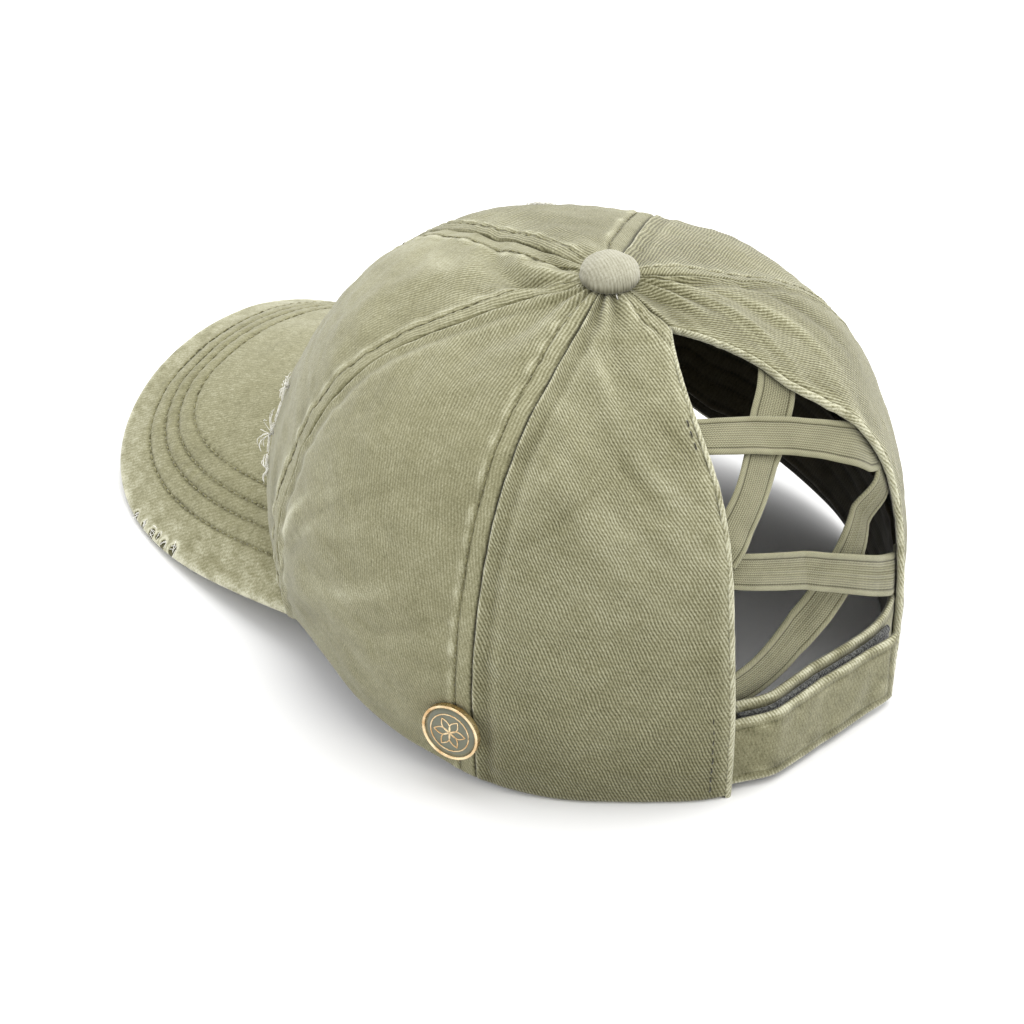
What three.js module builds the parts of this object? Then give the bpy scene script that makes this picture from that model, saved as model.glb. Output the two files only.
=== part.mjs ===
// Six-panel baseball cap with a ponytail opening, crossed elastics and a back closure.
// Millimetres, +Z up. The peak points to -Y, the ponytail opening faces +Y, and the
// wearer's left is +X. The cap rests on its back rim and on the side edges of its peak.
import * as THREE from 'three';
import { mergeVertices } from 'three/addons/utils/BufferGeometryUtils.js';

// Crown sizes
const headLength = 193;
const headWidth = 182;
const openingSwell = 4;
const crownHeight = 123;
const crownSetback = 9;
const clothWall = 1.8;
const panelPuff = 1.4;
const foldDepth = 3;
const frontSeamAngle = 57;
const backSeamAngle = 110;
const pieceGap = 0.3;

// Ponytail opening sizes
const openingHalfWidth = 33.5;
const openingTopSetback = 26.5;
const openingLegHeight = 38;
const openingSpread = 8;
const openingPinch = 1.6;
const archRoundness = 2.1;
const archFullness = 0.92;
const hemWidth = 4.5;
const hemThickness = 2.3;
const hemLegShare = 0.25;

// Peak sizes
const peakReach = 70.5;
const peakHalfWidth = 79.8;
const peakCornerSetback = 53;
const peakSquareness = 0.64;
const peakThickness = 2.6;
const peakSlope = 0.27;
const peakDroop = 3;
const peakArch = 44.5;
const peakTuck = 7;

// Sweatband, button and badge sizes
const bandHeight = 31;
const bandThickness = 1.4;
const bandRimMargin = 3;
const bandGap = 0.45;
const buttonRadius = 8.6;
const buttonHeight = 6.8;
const buttonPinRadius = 3;
const badgeRadius = 9.1;
const badgeRimWidth = 0.9;
const badgeHeight = 2.2;
const badgeAngle = 107;
const badgeRise = 19.2;
const badgeTurn = 106.8;
const badgeTip = 2.7;

// Elastic and closure sizes
const elasticWidth = 12.5;
const elasticThickness = 1.3;
const elasticTuck = 5;
const elasticGap = 0.45;
const layerRun = 10;
const tabHeight = 24;
const tabThickness = 2;
const tabFloorGap = 2;
const tabInset = 2.5;
const tabFlare = 1.6;
const tabFlareRun = 12;
const tabRoot = 6;
const tabDipShare = 0.5;
const innerTabRise = 3.5;
const innerTabInset = 2.5;
const hookStripHeight = 22;
const hookStripThickness = 1.2;
const hookStripInset = 3;
const hookStripShare = 0.7;

// How fine the meshes are
const panelRows = 16;
const panelColumns = 12;
const peakSteps = 40;
const peakRings = 7;
const bandSteps = 56;
const elasticSteps = 20;
const hemSteps = 60;
const tabSteps = 24;
const stripRows = 3;
const roundSteps = 26;
const angleTries = 6;
const climbHalvings = 30;
const climbStep = 0.01;

const degree = Math.PI / 180;
const halfLength = headLength / 2;
const halfWidth = headWidth / 2;
const swellAngle = 158;
const swellWidth = 13;
const rimHold = 0.08;
const puffSquareness = 0.8;
const puffSeat = 0.5;
const crownSlant = 0.6;
const spreadTop = 0.715;
const spreadRun = 0.42;
const pinchRun = 0.07;
const rightRimKeep = 0.6;
const rightRimRun = 0.09;
const buttonUnder = 0.1;

// Meridian of the crown from rim to button, in equal steps along the cloth.
// Reach is a share of the rim's distance from the button, rise a share of the height.
const meridian = [
  { frontReach: 1.0, sideReach: 1.0, backReach: 1.0, rise: 0.0, sideRise: 0.0 },
  { frontReach: 1.0, sideReach: 1.025, backReach: 1.0, rise: 0.12, sideRise: 0.115 },
  { frontReach: 0.98, sideReach: 1.045, backReach: 0.995, rise: 0.245, sideRise: 0.24 },
  { frontReach: 0.935, sideReach: 1.04, backReach: 0.985, rise: 0.37, sideRise: 0.365 },
  { frontReach: 0.88, sideReach: 1.005, backReach: 0.965, rise: 0.49, sideRise: 0.49 },
  { frontReach: 0.825, sideReach: 0.95, backReach: 0.93, rise: 0.6, sideRise: 0.61 },
  { frontReach: 0.765, sideReach: 0.87, backReach: 0.87, rise: 0.695, sideRise: 0.715 },
  { frontReach: 0.675, sideReach: 0.765, backReach: 0.77, rise: 0.78, sideRise: 0.805 },
  { frontReach: 0.56, sideReach: 0.625, backReach: 0.625, rise: 0.848, sideRise: 0.87 },
  { frontReach: 0.425, sideReach: 0.45, backReach: 0.465, rise: 0.902, sideRise: 0.915 },
  { frontReach: 0.285, sideReach: 0.285, backReach: 0.3, rise: 0.945, sideRise: 0.95 },
  { frontReach: 0.135, sideReach: 0.13, backReach: 0.135, rise: 0.978, sideRise: 0.979 },
  { frontReach: 0.0, sideReach: 0.0, backReach: 0.0, rise: 1.0, sideRise: 1.0 },
];

// Height of the rim behind the peak's corners, as shares of the height at a corner.
// Turn is the share of the way round from a corner to the middle of the back.
const rimRises = [
  { turn: 0, rise: 1 },
  { turn: 0.04, rise: 1.3 },
  { turn: 0.09, rise: 1.38 },
  { turn: 0.15, rise: 1.22 },
  { turn: 0.21, rise: 0.88 },
  { turn: 0.28, rise: 0.62 },
  { turn: 0.36, rise: 0.42 },
  { turn: 0.43, rise: 0.18 },
  { turn: 0.5, rise: 0.06 },
  { turn: 0.58, rise: 0 },
  { turn: 1, rise: 0 },
];

// Dents and folds of the worn cloth. Angle is in degrees from the front towards the
// wearer's left, climb the share up the cloth, lean the turn in degrees over the whole
// length, and depth a share of foldDepth, with dents below zero.
const folds = [
  { angle: 28, climb: 0.84, length: 0.1, width: 9, lean: 30, depth: -0.9 },
  { angle: 36, climb: 0.62, length: 0.16, width: 9, lean: -12, depth: 0.5 },
  { angle: 78, climb: 0.8, length: 0.14, width: 8, lean: 6, depth: -0.5 },
  { angle: 96, climb: 0.74, length: 0.16, width: 7, lean: -8, depth: 0.4 },
  { angle: 84, climb: 0.2, length: 0.13, width: 8, lean: 10, depth: -0.5 },
  { angle: 68, climb: 0.12, length: 0.1, width: 5, lean: 4, depth: 0.5 },
  { angle: 135, climb: 0.66, length: 0.12, width: 9, lean: -14, depth: -0.6 },
  { angle: 128, climb: 0.3, length: 0.15, width: 8, lean: 8, depth: -0.4 },
  { angle: 222, climb: 0.72, length: 0.13, width: 7, lean: 16, depth: -0.6 },
  { angle: 208, climb: 0.6, length: 0.12, width: 6, lean: 10, depth: 0.5 },
  { angle: 262, climb: 0.55, length: 0.2, width: 10, lean: -8, depth: -0.5 },
  { angle: 284, climb: 0.68, length: 0.2, width: 24, lean: 0, depth: -1 },
  { angle: 264, climb: 0.7, length: 0.12, width: 13, lean: 0, depth: -0.8 },
  { angle: 228, climb: 0.42, length: 0.09, width: 12, lean: 0, depth: -0.5 },
  { angle: 320, climb: 0.5, length: 0.2, width: 12, lean: 6, depth: -0.4 },
];

// Elastics across the opening. Left and right are the places of the two ends, as shares
// of the way up the opening, bow a share of the elastic's width upwards, twist the slope
// of its middle with the upper edge deeper, and the layers count inwards from the edge.
const elastics = [
  { name: 'upper', left: 0.79, right: 0.56, bow: 0.32, twist: 0, leftLayer: 0, middleLayer: 0 },
  { name: 'cross_upper', left: 0.555, right: 0.8, bow: 0, twist: 0, leftLayer: 0, middleLayer: 1 },
  { name: 'lower', left: 0.5, right: 0.245, bow: 0.1, twist: 0, leftLayer: 1, middleLayer: 1 },
  { name: 'cross_lower', left: 0.2, right: 0.47, bow: -0.95, twist: 0.3, leftLayer: 4, middleLayer: 4 },
];

// Outline of the button above its pin, as shares of its radius and height.
const buttonProfile = [
  { reach: 0.85, rise: -0.03 },
  { reach: 1, rise: 0.05 },
  { reach: 0.99, rise: 0.3 },
  { reach: 0.85, rise: 0.68 },
  { reach: 0.5, rise: 0.94 },
  { reach: 0, rise: 1 },
];

// Section of the badge's rim. Inset is a share of the rim's width, rise of the height.
const badgeRimProfile = [
  { inset: 1, rise: 0 },
  { inset: 0.3, rise: 0 },
  { inset: 0, rise: 0.5 },
  { inset: 0.5, rise: 1 },
  { inset: 1, rise: 0.75 },
  { inset: 1, rise: 0 },
];

// Outline of the badge's face, as shares of its radius and of the badge's height.
const badgeFaceProfile = [
  { reach: 0, rise: 0 },
  { reach: 1, rise: 0 },
  { reach: 1, rise: 0.66 },
  { reach: 0.6, rise: 0.74 },
  { reach: 0, rise: 0.8 },
];

function smoothStep(value) {
  const t = Math.min(1, Math.max(0, value));
  return t * t * (3 - 2 * t);
}

// A smooth curve through equally spaced values.
function curveThrough(values, share) {
  const place = Math.min(1, Math.max(0, share)) * (values.length - 1);
  const i = Math.min(values.length - 2, Math.floor(place));
  const t = place - i;
  const a = values[i];
  const b = values[i + 1];
  const before = i > 0 ? values[i - 1] : 2 * a - b;
  const after = i < values.length - 2 ? values[i + 2] : 2 * b - a;
  const slopeA = (b - before) / 2;
  const slopeB = (after - a) / 2;
  return a + t * slopeA + t * t * (3 * (b - a) - 2 * slopeA - slopeB)
    + t * t * t * (2 * (a - b) + slopeA + slopeB);
}

// A smooth step from row to row of a table with unequal steps.
function tableValue(rows, key, column, value) {
  let i = 0;
  while (i < rows.length - 2 && value > rows[i + 1][key]) i += 1;
  const t = (value - rows[i][key]) / (rows[i + 1][key] - rows[i][key]);
  const slope = (j) => {
    if (j === 0 || j === rows.length - 1) return 0;
    if (rows[j + 1][column] === rows[j][column]) return 0;
    return (rows[j + 1][column] - rows[j - 1][column]) / (rows[j + 1][key] - rows[j - 1][key]);
  };
  const span = rows[i + 1][key] - rows[i][key];
  const a = rows[i][column];
  const b = rows[i + 1][column];
  const slopeA = slope(i) * span;
  const slopeB = slope(i + 1) * span;
  return a + t * slopeA + t * t * (3 * (b - a) - 2 * slopeA - slopeB)
    + t * t * t * (2 * (a - b) + slopeA + slopeB);
}

// Distance from the button's axis to the rim's outside, at an angle from the front.
// The rim is an ellipse that swells a little where the opening's edges swing out.
function rimDistance(angle) {
  const sine = Math.sin(angle);
  const cosine = Math.cos(angle);
  const turned = Math.abs(Math.atan2(sine, cosine)) / degree;
  const square = (sine / halfWidth) ** 2 + (cosine / halfLength) ** 2;
  const linear = crownSetback * cosine / halfLength ** 2;
  const inside = 1 - (crownSetback / halfLength) ** 2;
  const ellipse = (linear + Math.sqrt(linear ** 2 + square * inside)) / square;
  return ellipse + openingSwell * Math.exp(-(((turned - swellAngle) / swellWidth) ** 2));
}

// Peak surface: a sloping arch, measured forward from the rim's front.
function peakFall(x, y) {
  const forward = -halfLength - y;
  return peakSlope * forward + peakDroop * (forward / peakReach) ** 2
    + peakArch * (x / peakHalfWidth) ** 2;
}

function peakOutline(angle) {
  const sine = Math.sin(angle);
  const depth = peakReach + peakCornerSetback;
  const x = peakHalfWidth * Math.sign(sine) * Math.abs(sine) ** peakSquareness;
  const y = peakCornerSetback - halfLength - depth * Math.abs(Math.cos(angle)) ** peakSquareness;
  return [x, y];
}

// Height of the peak's root, so that its lowest edge just reaches the surface below.
function rootHeight() {
  let deepest = 0;
  for (let step = 0; step <= 90; step += 1) {
    const [x, y] = peakOutline(step * degree);
    deepest = Math.max(deepest, peakFall(x, y));
  }
  return deepest + peakThickness;
}

const peakRoot = rootHeight();
const peakTop = (x, y) => peakRoot - peakFall(x, y);
const cornerAngle = Math.atan2(peakHalfWidth, halfLength - peakCornerSetback + crownSetback);

// Height of the cloth's lower edge at an angle, for a layer that lies deeper inside.
// Behind the peak the right side keeps only a share of the left side's rise.
function rimHeight(angle, depth) {
  const signed = Math.atan2(Math.sin(angle), Math.cos(angle));
  const turned = Math.abs(signed);
  const held = Math.min(turned, cornerAngle);
  const reach = rimDistance(held) - depth;
  const seat = peakTop(reach * Math.sin(held), crownSetback - reach * Math.cos(held)) + pieceGap;
  const turn = (turned - held) / (Math.PI - cornerAngle);
  const eased = signed < 0 ? (1 - rightRimKeep) * smoothStep(turn / rightRimRun) : 0;
  return seat * tableValue(rimRises, 'turn', 'rise', turn) * (1 - eased);
}

// Reach and rise of the crown's meridian, blended from its front, side and back columns.
function meridianAt(angle, climb) {
  const cosine = Math.cos(angle);
  const front = Math.max(0, cosine) ** 2;
  const back = Math.max(0, -cosine) ** 2;
  const side = 1 - front - back;
  const column = (name) => curveThrough(meridian.map((row) => row[name]), climb);
  return {
    reach: front * column('frontReach') + side * column('sideReach') + back * column('backReach'),
    rise: (front + back) * column('rise') + side * column('sideRise'),
  };
}

// How far the cloth stands out: each panel swells between its seams, and folds dent it.
function clothRelief(angle, climb) {
  const degrees = ((angle / degree) % 360 + 360) % 360;
  const mirrored = degrees > 180 ? 360 - degrees : degrees;
  const seams = [0, frontSeamAngle, backSeamAngle, 180];
  const i = mirrored < frontSeamAngle ? 0 : mirrored < backSeamAngle ? 1 : 2;
  const across = (mirrored - seams[i]) / (seams[i + 1] - seams[i]);
  const swell = Math.sin(Math.PI * across) ** puffSquareness - puffSeat;
  let relief = panelPuff * swell * Math.sin(Math.PI * climb ** puffSquareness);
  for (const fold of folds) {
    const along = (climb - fold.climb) / fold.length;
    const aside = (degrees - fold.angle - fold.lean * along) / fold.width;
    relief += foldDepth * fold.depth * Math.exp(-along * along - aside * aside);
  }
  return relief;
}

// A point of the crown at an angle and a climb along the cloth, some depth inside it.
function crownPoint(angle, climb, depth) {
  const distance = rimDistance(angle);
  const hole = (buttonPinRadius + 2 * pieceGap) / distance;
  const low = rimHeight(angle, Math.max(0, depth));
  const place = (share) => {
    const { reach, rise } = meridianAt(angle, share);
    return [distance * (hole + (1 - hole) * reach), low + (crownHeight - low) * rise];
  };
  const [radius, height] = place(climb);
  const [radiusBefore, heightBefore] = place(Math.max(0, climb - climbStep));
  const [radiusAfter, heightAfter] = place(Math.min(1, climb + climbStep));
  const along = Math.hypot(radiusAfter - radiusBefore, heightAfter - heightBefore);
  const out = (heightAfter - heightBefore) / along;
  const up = (radiusBefore - radiusAfter) / along;
  const free = smoothStep(climb / rimHold);
  const stand = clothRelief(angle, climb) * free - depth;
  const finalRadius = radius + stand * out;
  return [
    finalRadius * Math.sin(angle),
    crownSetback - finalRadius * Math.cos(angle),
    height + stand * up * free,
  ];
}

// Angle of the point on the crown that lies some way left of the middle of the back.
function backAngle(aside, climb) {
  let angle = Math.PI;
  for (let i = 0; i < angleTries; i += 1) {
    const radius = Math.hypot(rimDistance(angle) * meridianAt(angle, climb).reach, 1);
    angle = Math.PI - Math.asin(Math.min(1, Math.max(-1, aside / radius)));
  }
  return angle;
}

// Climb at which the middle of the back reaches a height.
function climbAtHeight(angle, height) {
  const low = rimHeight(angle, 0);
  let near = 0;
  let far = 1;
  for (let i = 0; i < climbHalvings; i += 1) {
    const middle = (near + far) / 2;
    if (low + (crownHeight - low) * meridianAt(angle, middle).rise < height) near = middle;
    else far = middle;
  }
  return (near + far) / 2;
}

const clothLength = crownHeight + halfLength * crownSlant;
const legClimb = climbAtHeight(Math.PI, openingLegHeight);
const topClimb = 1 - openingTopSetback / clothLength;

// Half width of the opening's arch at a climb, grown outwards by a margin. Side is 1 on
// the wearer's left and -1 on the right, where the worn edge pinches in and then spreads.
function openingAside(climb, margin, side) {
  const top = topClimb + margin / clothLength;
  const t = Math.max(0, (climb - legClimb) / (top - legClimb));
  if (t >= 1) return 0;
  const arch = (openingHalfWidth + margin) * (1 - t ** archRoundness) ** archFullness;
  if (side > 0) return arch;
  const spread = openingSpread * smoothStep((spreadTop - t) / spreadRun);
  const pinch = openingPinch * Math.exp(-(((t - spreadTop) / pinchRun) ** 2));
  return arch + spread - pinch;
}

// Widths at the rim from the middle of the back to the hem's outer edges.
const leftEdge = openingHalfWidth + hemWidth;
const rightEdge = leftEdge + openingSpread;

// Six times the volume inside a mesh, below zero where its faces point inwards.
function signedVolume(positions, indices) {
  const corner = (k) => new THREE.Vector3().fromArray(positions, 3 * indices[k]);
  let volume = 0;
  for (let k = 0; k < indices.length; k += 3) {
    volume += corner(k).dot(corner(k + 1).cross(corner(k + 2)));
  }
  return volume;
}

// A closed body between an outside and an inside grid of points.
function slab(columns, rows, outside, inside) {
  const positions = [];
  const indices = [];
  const stride = rows + 1;
  const count = (columns + 1) * stride;
  for (const side of [outside, inside]) {
    for (let i = 0; i <= columns; i += 1) {
      for (let j = 0; j <= rows; j += 1) positions.push(...side(i / columns, j / rows));
    }
  }
  const quad = (a, b, c, d) => indices.push(a, b, c, a, c, d);
  for (let i = 0; i < columns; i += 1) {
    for (let j = 0; j < rows; j += 1) {
      const a = i * stride + j;
      quad(a, a + stride, a + stride + 1, a + 1);
      quad(count + a, count + a + 1, count + a + stride + 1, count + a + stride);
    }
  }
  for (let i = 0; i < columns; i += 1) {
    const a = i * stride;
    const b = a + rows;
    quad(a, count + a, count + a + stride, a + stride);
    quad(b, b + stride, count + b + stride, count + b);
  }
  for (let j = 0; j < rows; j += 1) {
    const a = j;
    const b = columns * stride + j;
    quad(a, a + 1, count + a + 1, count + a);
    quad(b, count + b, count + b + 1, b + 1);
  }
  if (signedVolume(positions, indices) < 0) indices.reverse();
  const geometry = new THREE.BufferGeometry();
  geometry.setAttribute('position', new THREE.Float32BufferAttribute(positions, 3));
  geometry.setIndex(indices);
  return geometry;
}

const materials = {
  cloth: new THREE.MeshStandardMaterial({ color: 0x7d7a5c, roughness: 0.92, metalness: 0 }),
  trim: new THREE.MeshStandardMaterial({ color: 0x8f8c72, roughness: 0.92, metalness: 0 }),
  inside: new THREE.MeshStandardMaterial({ color: 0x4c4a38, roughness: 0.95, metalness: 0 }),
  elastic: new THREE.MeshStandardMaterial({ color: 0x6b6a58, roughness: 0.85, metalness: 0 }),
  hooks: new THREE.MeshStandardMaterial({ color: 0x3b3c38, roughness: 0.7, metalness: 0 }),
  gold: new THREE.MeshStandardMaterial({ color: 0xb48a4a, roughness: 0.3, metalness: 1 }),
  enamel: new THREE.MeshStandardMaterial({ color: 0x6f7464, roughness: 0.25, metalness: 0 }),
};

const cap = new THREE.Group();

function addPiece(name, geometry, material) {
  const piece = new THREE.Mesh(geometry, material);
  piece.name = name;
  cap.add(piece);
  return piece;
}

// Half of the gap at a seam, as an angle at the radius where it is cut.
function seamGap(angle, climb) {
  const radius = rimDistance(angle) * meridianAt(angle, climb).reach;
  return pieceGap / 2 / Math.max(radius, buttonPinRadius + 2 * pieceGap);
}

// A panel from one seam to the next, as seen on the wearer's left or mirrored.
function addPanel(name, from, to, mirror) {
  const point = (across, climb, depth) => {
    const start = from + seamGap(from, climb);
    const end = to(climb);
    const angle = mirror * (start + across * (end - start));
    return crownPoint(angle, climb, depth);
  };
  const outside = (i, j) => point(i, j, 0);
  const inside = (i, j) => point(i, j, clothWall);
  addPiece(name, slab(panelColumns, panelRows, outside, inside), materials.cloth);
}

function addPanels() {
  const frontSeam = frontSeamAngle * degree;
  const backSeam = backSeamAngle * degree;
  const toSeam = (seam) => (climb) => seam - seamGap(seam, climb);
  const toOpening = (mirror) => (climb) => {
    const margin = hemWidth + pieceGap;
    const edge = backAngle(openingAside(climb, margin, mirror), climb);
    return Math.min(edge, Math.PI - seamGap(Math.PI, climb));
  };
  for (const [side, mirror] of [['left', 1], ['right', -1]]) {
    addPanel(`panel_front_${side}`, 0, toSeam(frontSeam), mirror);
    addPanel(`panel_side_${side}`, frontSeam, toSeam(backSeam), mirror);
    addPanel(`panel_back_${side}`, backSeam, toOpening(mirror), mirror);
  }
}

// The opening's hem: a folded strip up one edge, round the arch and down the other.
function addOpeningHem() {
  const proud = (hemThickness - clothWall) / 2;
  const place = (along, margin) => {
    const side = along < 0.5 ? 1 : -1;
    const share = 1 - Math.abs(2 * along - 1);
    const top = topClimb + margin / clothLength;
    const swing = Math.max(0, share - hemLegShare) / (1 - hemLegShare) * Math.PI / 2;
    const leg = legClimb * Math.min(1, share / hemLegShare);
    const climb = leg + (top - legClimb) * Math.sin(swing);
    const aside = along === 0.5 ? 0 : openingAside(climb, margin, side);
    return [side * aside, climb];
  };
  const point = (along, across, depth) => {
    const [aside, climb] = place(along, across * hemWidth);
    const angle = backAngle(Math.abs(aside), climb);
    return crownPoint(aside < 0 ? -angle : angle, climb, depth);
  };
  const outside = (i, j) => point(i, j, -proud);
  const inside = (i, j) => point(i, j, clothWall + proud);
  addPiece('opening_hem', slab(hemSteps, 2, outside, inside), materials.trim);
}

// The peak, one curved body from under the crown's front edge to its outline.
function addPeak() {
  const point = (along, across, lower) => {
    const swing = (2 * along - 1) * 90 * degree;
    const root = (2 * along - 1) * cornerAngle;
    const reach = rimDistance(root) - peakTuck;
    const [x, y] = peakOutline(swing);
    const startX = reach * Math.sin(root);
    const startY = crownSetback - reach * Math.cos(root);
    const px = startX + across * (x - startX);
    const py = startY + across * (y - startY);
    return [px, py, peakTop(px, py) - lower];
  };
  const outside = (i, j) => point(i, j, 0);
  const inside = (i, j) => point(i, j, peakThickness);
  addPiece('peak', slab(peakSteps, peakRings, outside, inside), materials.cloth);
}

// The sweatband, inside the rim from one closure tab's root round to the other.
function addSweatband() {
  const leftEnd = backAngle(leftEdge + tabRoot + 2 * pieceGap, 0);
  const rightEnd = backAngle(rightEdge + tabRoot + 2 * pieceGap, 0);
  const outer = clothWall + bandGap;
  const point = (along, up, depth) => {
    const angle = along * (leftEnd + rightEnd) - rightEnd;
    const low = rimHeight(angle, 0);
    const height = low + bandRimMargin + up * (bandHeight - bandRimMargin);
    return crownPoint(angle, climbAtHeight(angle, height), depth);
  };
  const outside = (i, j) => point(i, j, outer);
  const inside = (i, j) => point(i, j, outer + bandThickness);
  addPiece('sweatband', slab(bandSteps, 3, outside, inside), materials.inside);
}

// The covered button, with the pin that holds the six panel tips.
function addButton() {
  const profile = [
    [0, -clothWall - pieceGap],
    [buttonPinRadius, -clothWall - pieceGap],
    [buttonPinRadius, pieceGap + buttonHeight * buttonUnder],
  ];
  for (const { reach, rise } of buttonProfile) {
    profile.push([buttonRadius * reach, buttonHeight * rise]);
  }
  const points = profile.map(([radius, height]) => new THREE.Vector2(radius, height));
  const turned = new THREE.LatheGeometry(points, roundSteps);
  turned.rotateX(Math.PI / 2);
  turned.translate(0, crownSetback, crownHeight);
  addPiece('top_button', closedGeometry(turned), materials.trim);
}

function closedGeometry(geometry) {
  geometry.deleteAttribute('normal');
  geometry.deleteAttribute('uv');
  return mergeVertices(geometry, 1e-5);
}

// How far the badge's back stands off its seat to clear the cloth all round its edge.
function badgeStand(here, normal, angle, climb) {
  let stand = 0;
  for (let turn = 0; turn < 2 * Math.PI; turn += Math.PI / roundSteps) {
    const aside = badgeRadius * Math.cos(turn) / rimDistance(angle);
    const above = badgeRadius * Math.sin(turn) / clothLength;
    const edge = new THREE.Vector3(...crownPoint(angle + aside, climb + above, 0));
    stand = Math.max(stand, edge.sub(here).dot(normal));
  }
  return stand + pieceGap;
}

// A round badge by the rim: a thin metal rim and a plain domed face set into it.
function addBadge() {
  const angle = badgeAngle * degree;
  const climb = climbAtHeight(angle, rimHeight(angle, 0) + badgeRise);
  const turn = badgeTurn * degree;
  const tip = badgeTip * degree;
  const level = [Math.sin(turn) * Math.cos(tip), -Math.cos(turn) * Math.cos(tip)];
  const normal = new THREE.Vector3(...level, Math.sin(tip));
  const here = new THREE.Vector3(...crownPoint(angle, climb, 0));
  const stand = badgeStand(here, normal, angle, climb);
  const inner = badgeRadius - badgeRimWidth;
  const rimPoints = badgeRimProfile.map(({ inset, rise }) => [badgeRadius - inset * badgeRimWidth, rise]);
  const facePoints = badgeFaceProfile.map(({ reach, rise }) => [(inner - pieceGap) * reach, rise]);
  for (const [name, profile, material] of [
    ['badge_rim', rimPoints, materials.gold],
    ['badge_face', facePoints, materials.enamel],
  ]) {
    const points = profile.map(([radius, rise]) => new THREE.Vector2(radius, rise * badgeHeight));
    const turned = closedGeometry(new THREE.LatheGeometry(points, roundSteps));
    const piece = addPiece(name, turned, material);
    piece.quaternion.setFromUnitVectors(new THREE.Vector3(0, 1, 0), normal);
    piece.position.copy(here).addScaledVector(normal, stand);
  }
}

// The crossed elastics, sewn inside the hem and stretched along the crown's curve.
function addElastics() {
  const seat = (clothWall + hemThickness) / 2 + elasticGap;
  const edgeAt = (share, side) => {
    const climb = share * topClimb;
    return { aside: side * openingAside(climb, 0, side), way: climb * clothLength };
  };
  for (const { name, left, right, bow, twist, leftLayer, middleLayer } of elastics) {
    const start = edgeAt(left, 1);
    const end = edgeAt(right, -1);
    const length = Math.hypot(end.aside - start.aside, end.way - start.way);
    const alongAside = (end.aside - start.aside) / length;
    const alongWay = (end.way - start.way) / length;
    const point = (share, across, depth) => {
      const run = share * (length + 2 * elasticTuck) - elasticTuck;
      const part = Math.min(1, Math.max(0, run / length));
      const bent = 4 * part * (1 - part);
      const offset = (0.5 - across + bow * bent) * elasticWidth;
      const tilt = (0.5 - across) * twist * bent * elasticWidth;
      const aside = start.aside + run * alongAside + offset * alongWay;
      const climb = (start.way + run * alongWay - offset * alongAside) / clothLength;
      const leftPart = 1 - smoothStep(run / layerRun);
      const middlePart = smoothStep((length - run) / layerRun) - leftPart;
      const layer = leftLayer * leftPart + middleLayer * middlePart;
      const sink = layer * (elasticThickness + pieceGap);
      const angle = backAngle(Math.abs(aside), climb);
      return crownPoint(aside < 0 ? -angle : angle, climb, seat + sink + tilt + depth);
    };
    const outside = (i, j) => point(i, j, 0);
    const inside = (i, j) => point(i, j, elasticThickness);
    addPiece(`elastic_${name}`, slab(elasticSteps, 2, outside, inside), materials.elastic);
  }
}

// A closure strip that follows the rim between two places left and right of the middle.
function addStrip(name, from, to, low, high, stand, thickness, material) {
  const point = (along, up, depth) => {
    const aside = from + along * (to - from);
    const climb = climbAtHeight(Math.PI, low + up * (high - low));
    const angle = backAngle(Math.abs(aside), climb);
    return crownPoint(aside < 0 ? -angle : angle, climb, depth - stand(aside));
  };
  const outside = (i, j) => point(i, j, 0);
  const inside = (i, j) => point(i, j, thickness);
  addPiece(name, slab(tabSteps, stripRows, outside, inside), material);
}

// The closure: the left tab laps over the inner tab, with the hooks between the two.
// All three dip inwards together where the outer tab passes under the left edge.
function addClosure() {
  const tucked = -(clothWall + hemThickness) / 2 - pieceGap;
  const stripTop = tucked + pieceGap + hookStripThickness;
  const middle = stripTop + pieceGap + tabThickness;
  const tabEnd = openingHalfWidth - tabInset;
  const dip = (aside) => {
    const share = (aside / openingHalfWidth - tabDipShare) / (1 - tabDipShare);
    return smoothStep(share) * (middle - tucked);
  };
  const flare = (aside) => tabFlare * smoothStep((tabFlareRun - tabEnd - aside) / tabFlareRun);
  const outerLow = tabFloorGap;
  const innerLow = outerLow + innerTabRise;
  const innerEnd = openingHalfWidth - innerTabInset;
  addStrip('closure_tab_outer', leftEdge + tabRoot, -tabEnd, outerLow, outerLow + tabHeight,
    (aside) => middle - dip(aside) + flare(aside), tabThickness, materials.cloth);
  addStrip('closure_tab_inner', innerEnd, -rightEdge - tabRoot, innerLow, innerLow + tabHeight,
    (aside) => tucked - dip(aside), tabThickness, materials.cloth);
  addStrip('hook_strip', innerEnd - hookStripInset, -openingHalfWidth * hookStripShare, innerLow,
    innerLow + hookStripHeight, (aside) => stripTop - dip(aside), hookStripThickness, materials.hooks);
}

// The origin is moved below the middle of the finished cap.
function settleOrigin() {
  const box = new THREE.Box3().setFromObject(cap);
  const middle = box.getCenter(new THREE.Vector3());
  cap.position.set(-middle.x, -middle.y, -box.min.z);
}

addPanels();
addOpeningHem();
addPeak();
addSweatband();
addButton();
addBadge();
addElastics();
addClosure();
settleOrigin();

export default cap;
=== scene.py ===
"""Washed cotton ponytail cap: fine cloth, stitches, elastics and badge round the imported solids."""

import math

import bpy
import bmesh
import numpy as np
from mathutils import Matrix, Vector
from mathutils.kdtree import KDTree


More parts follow.
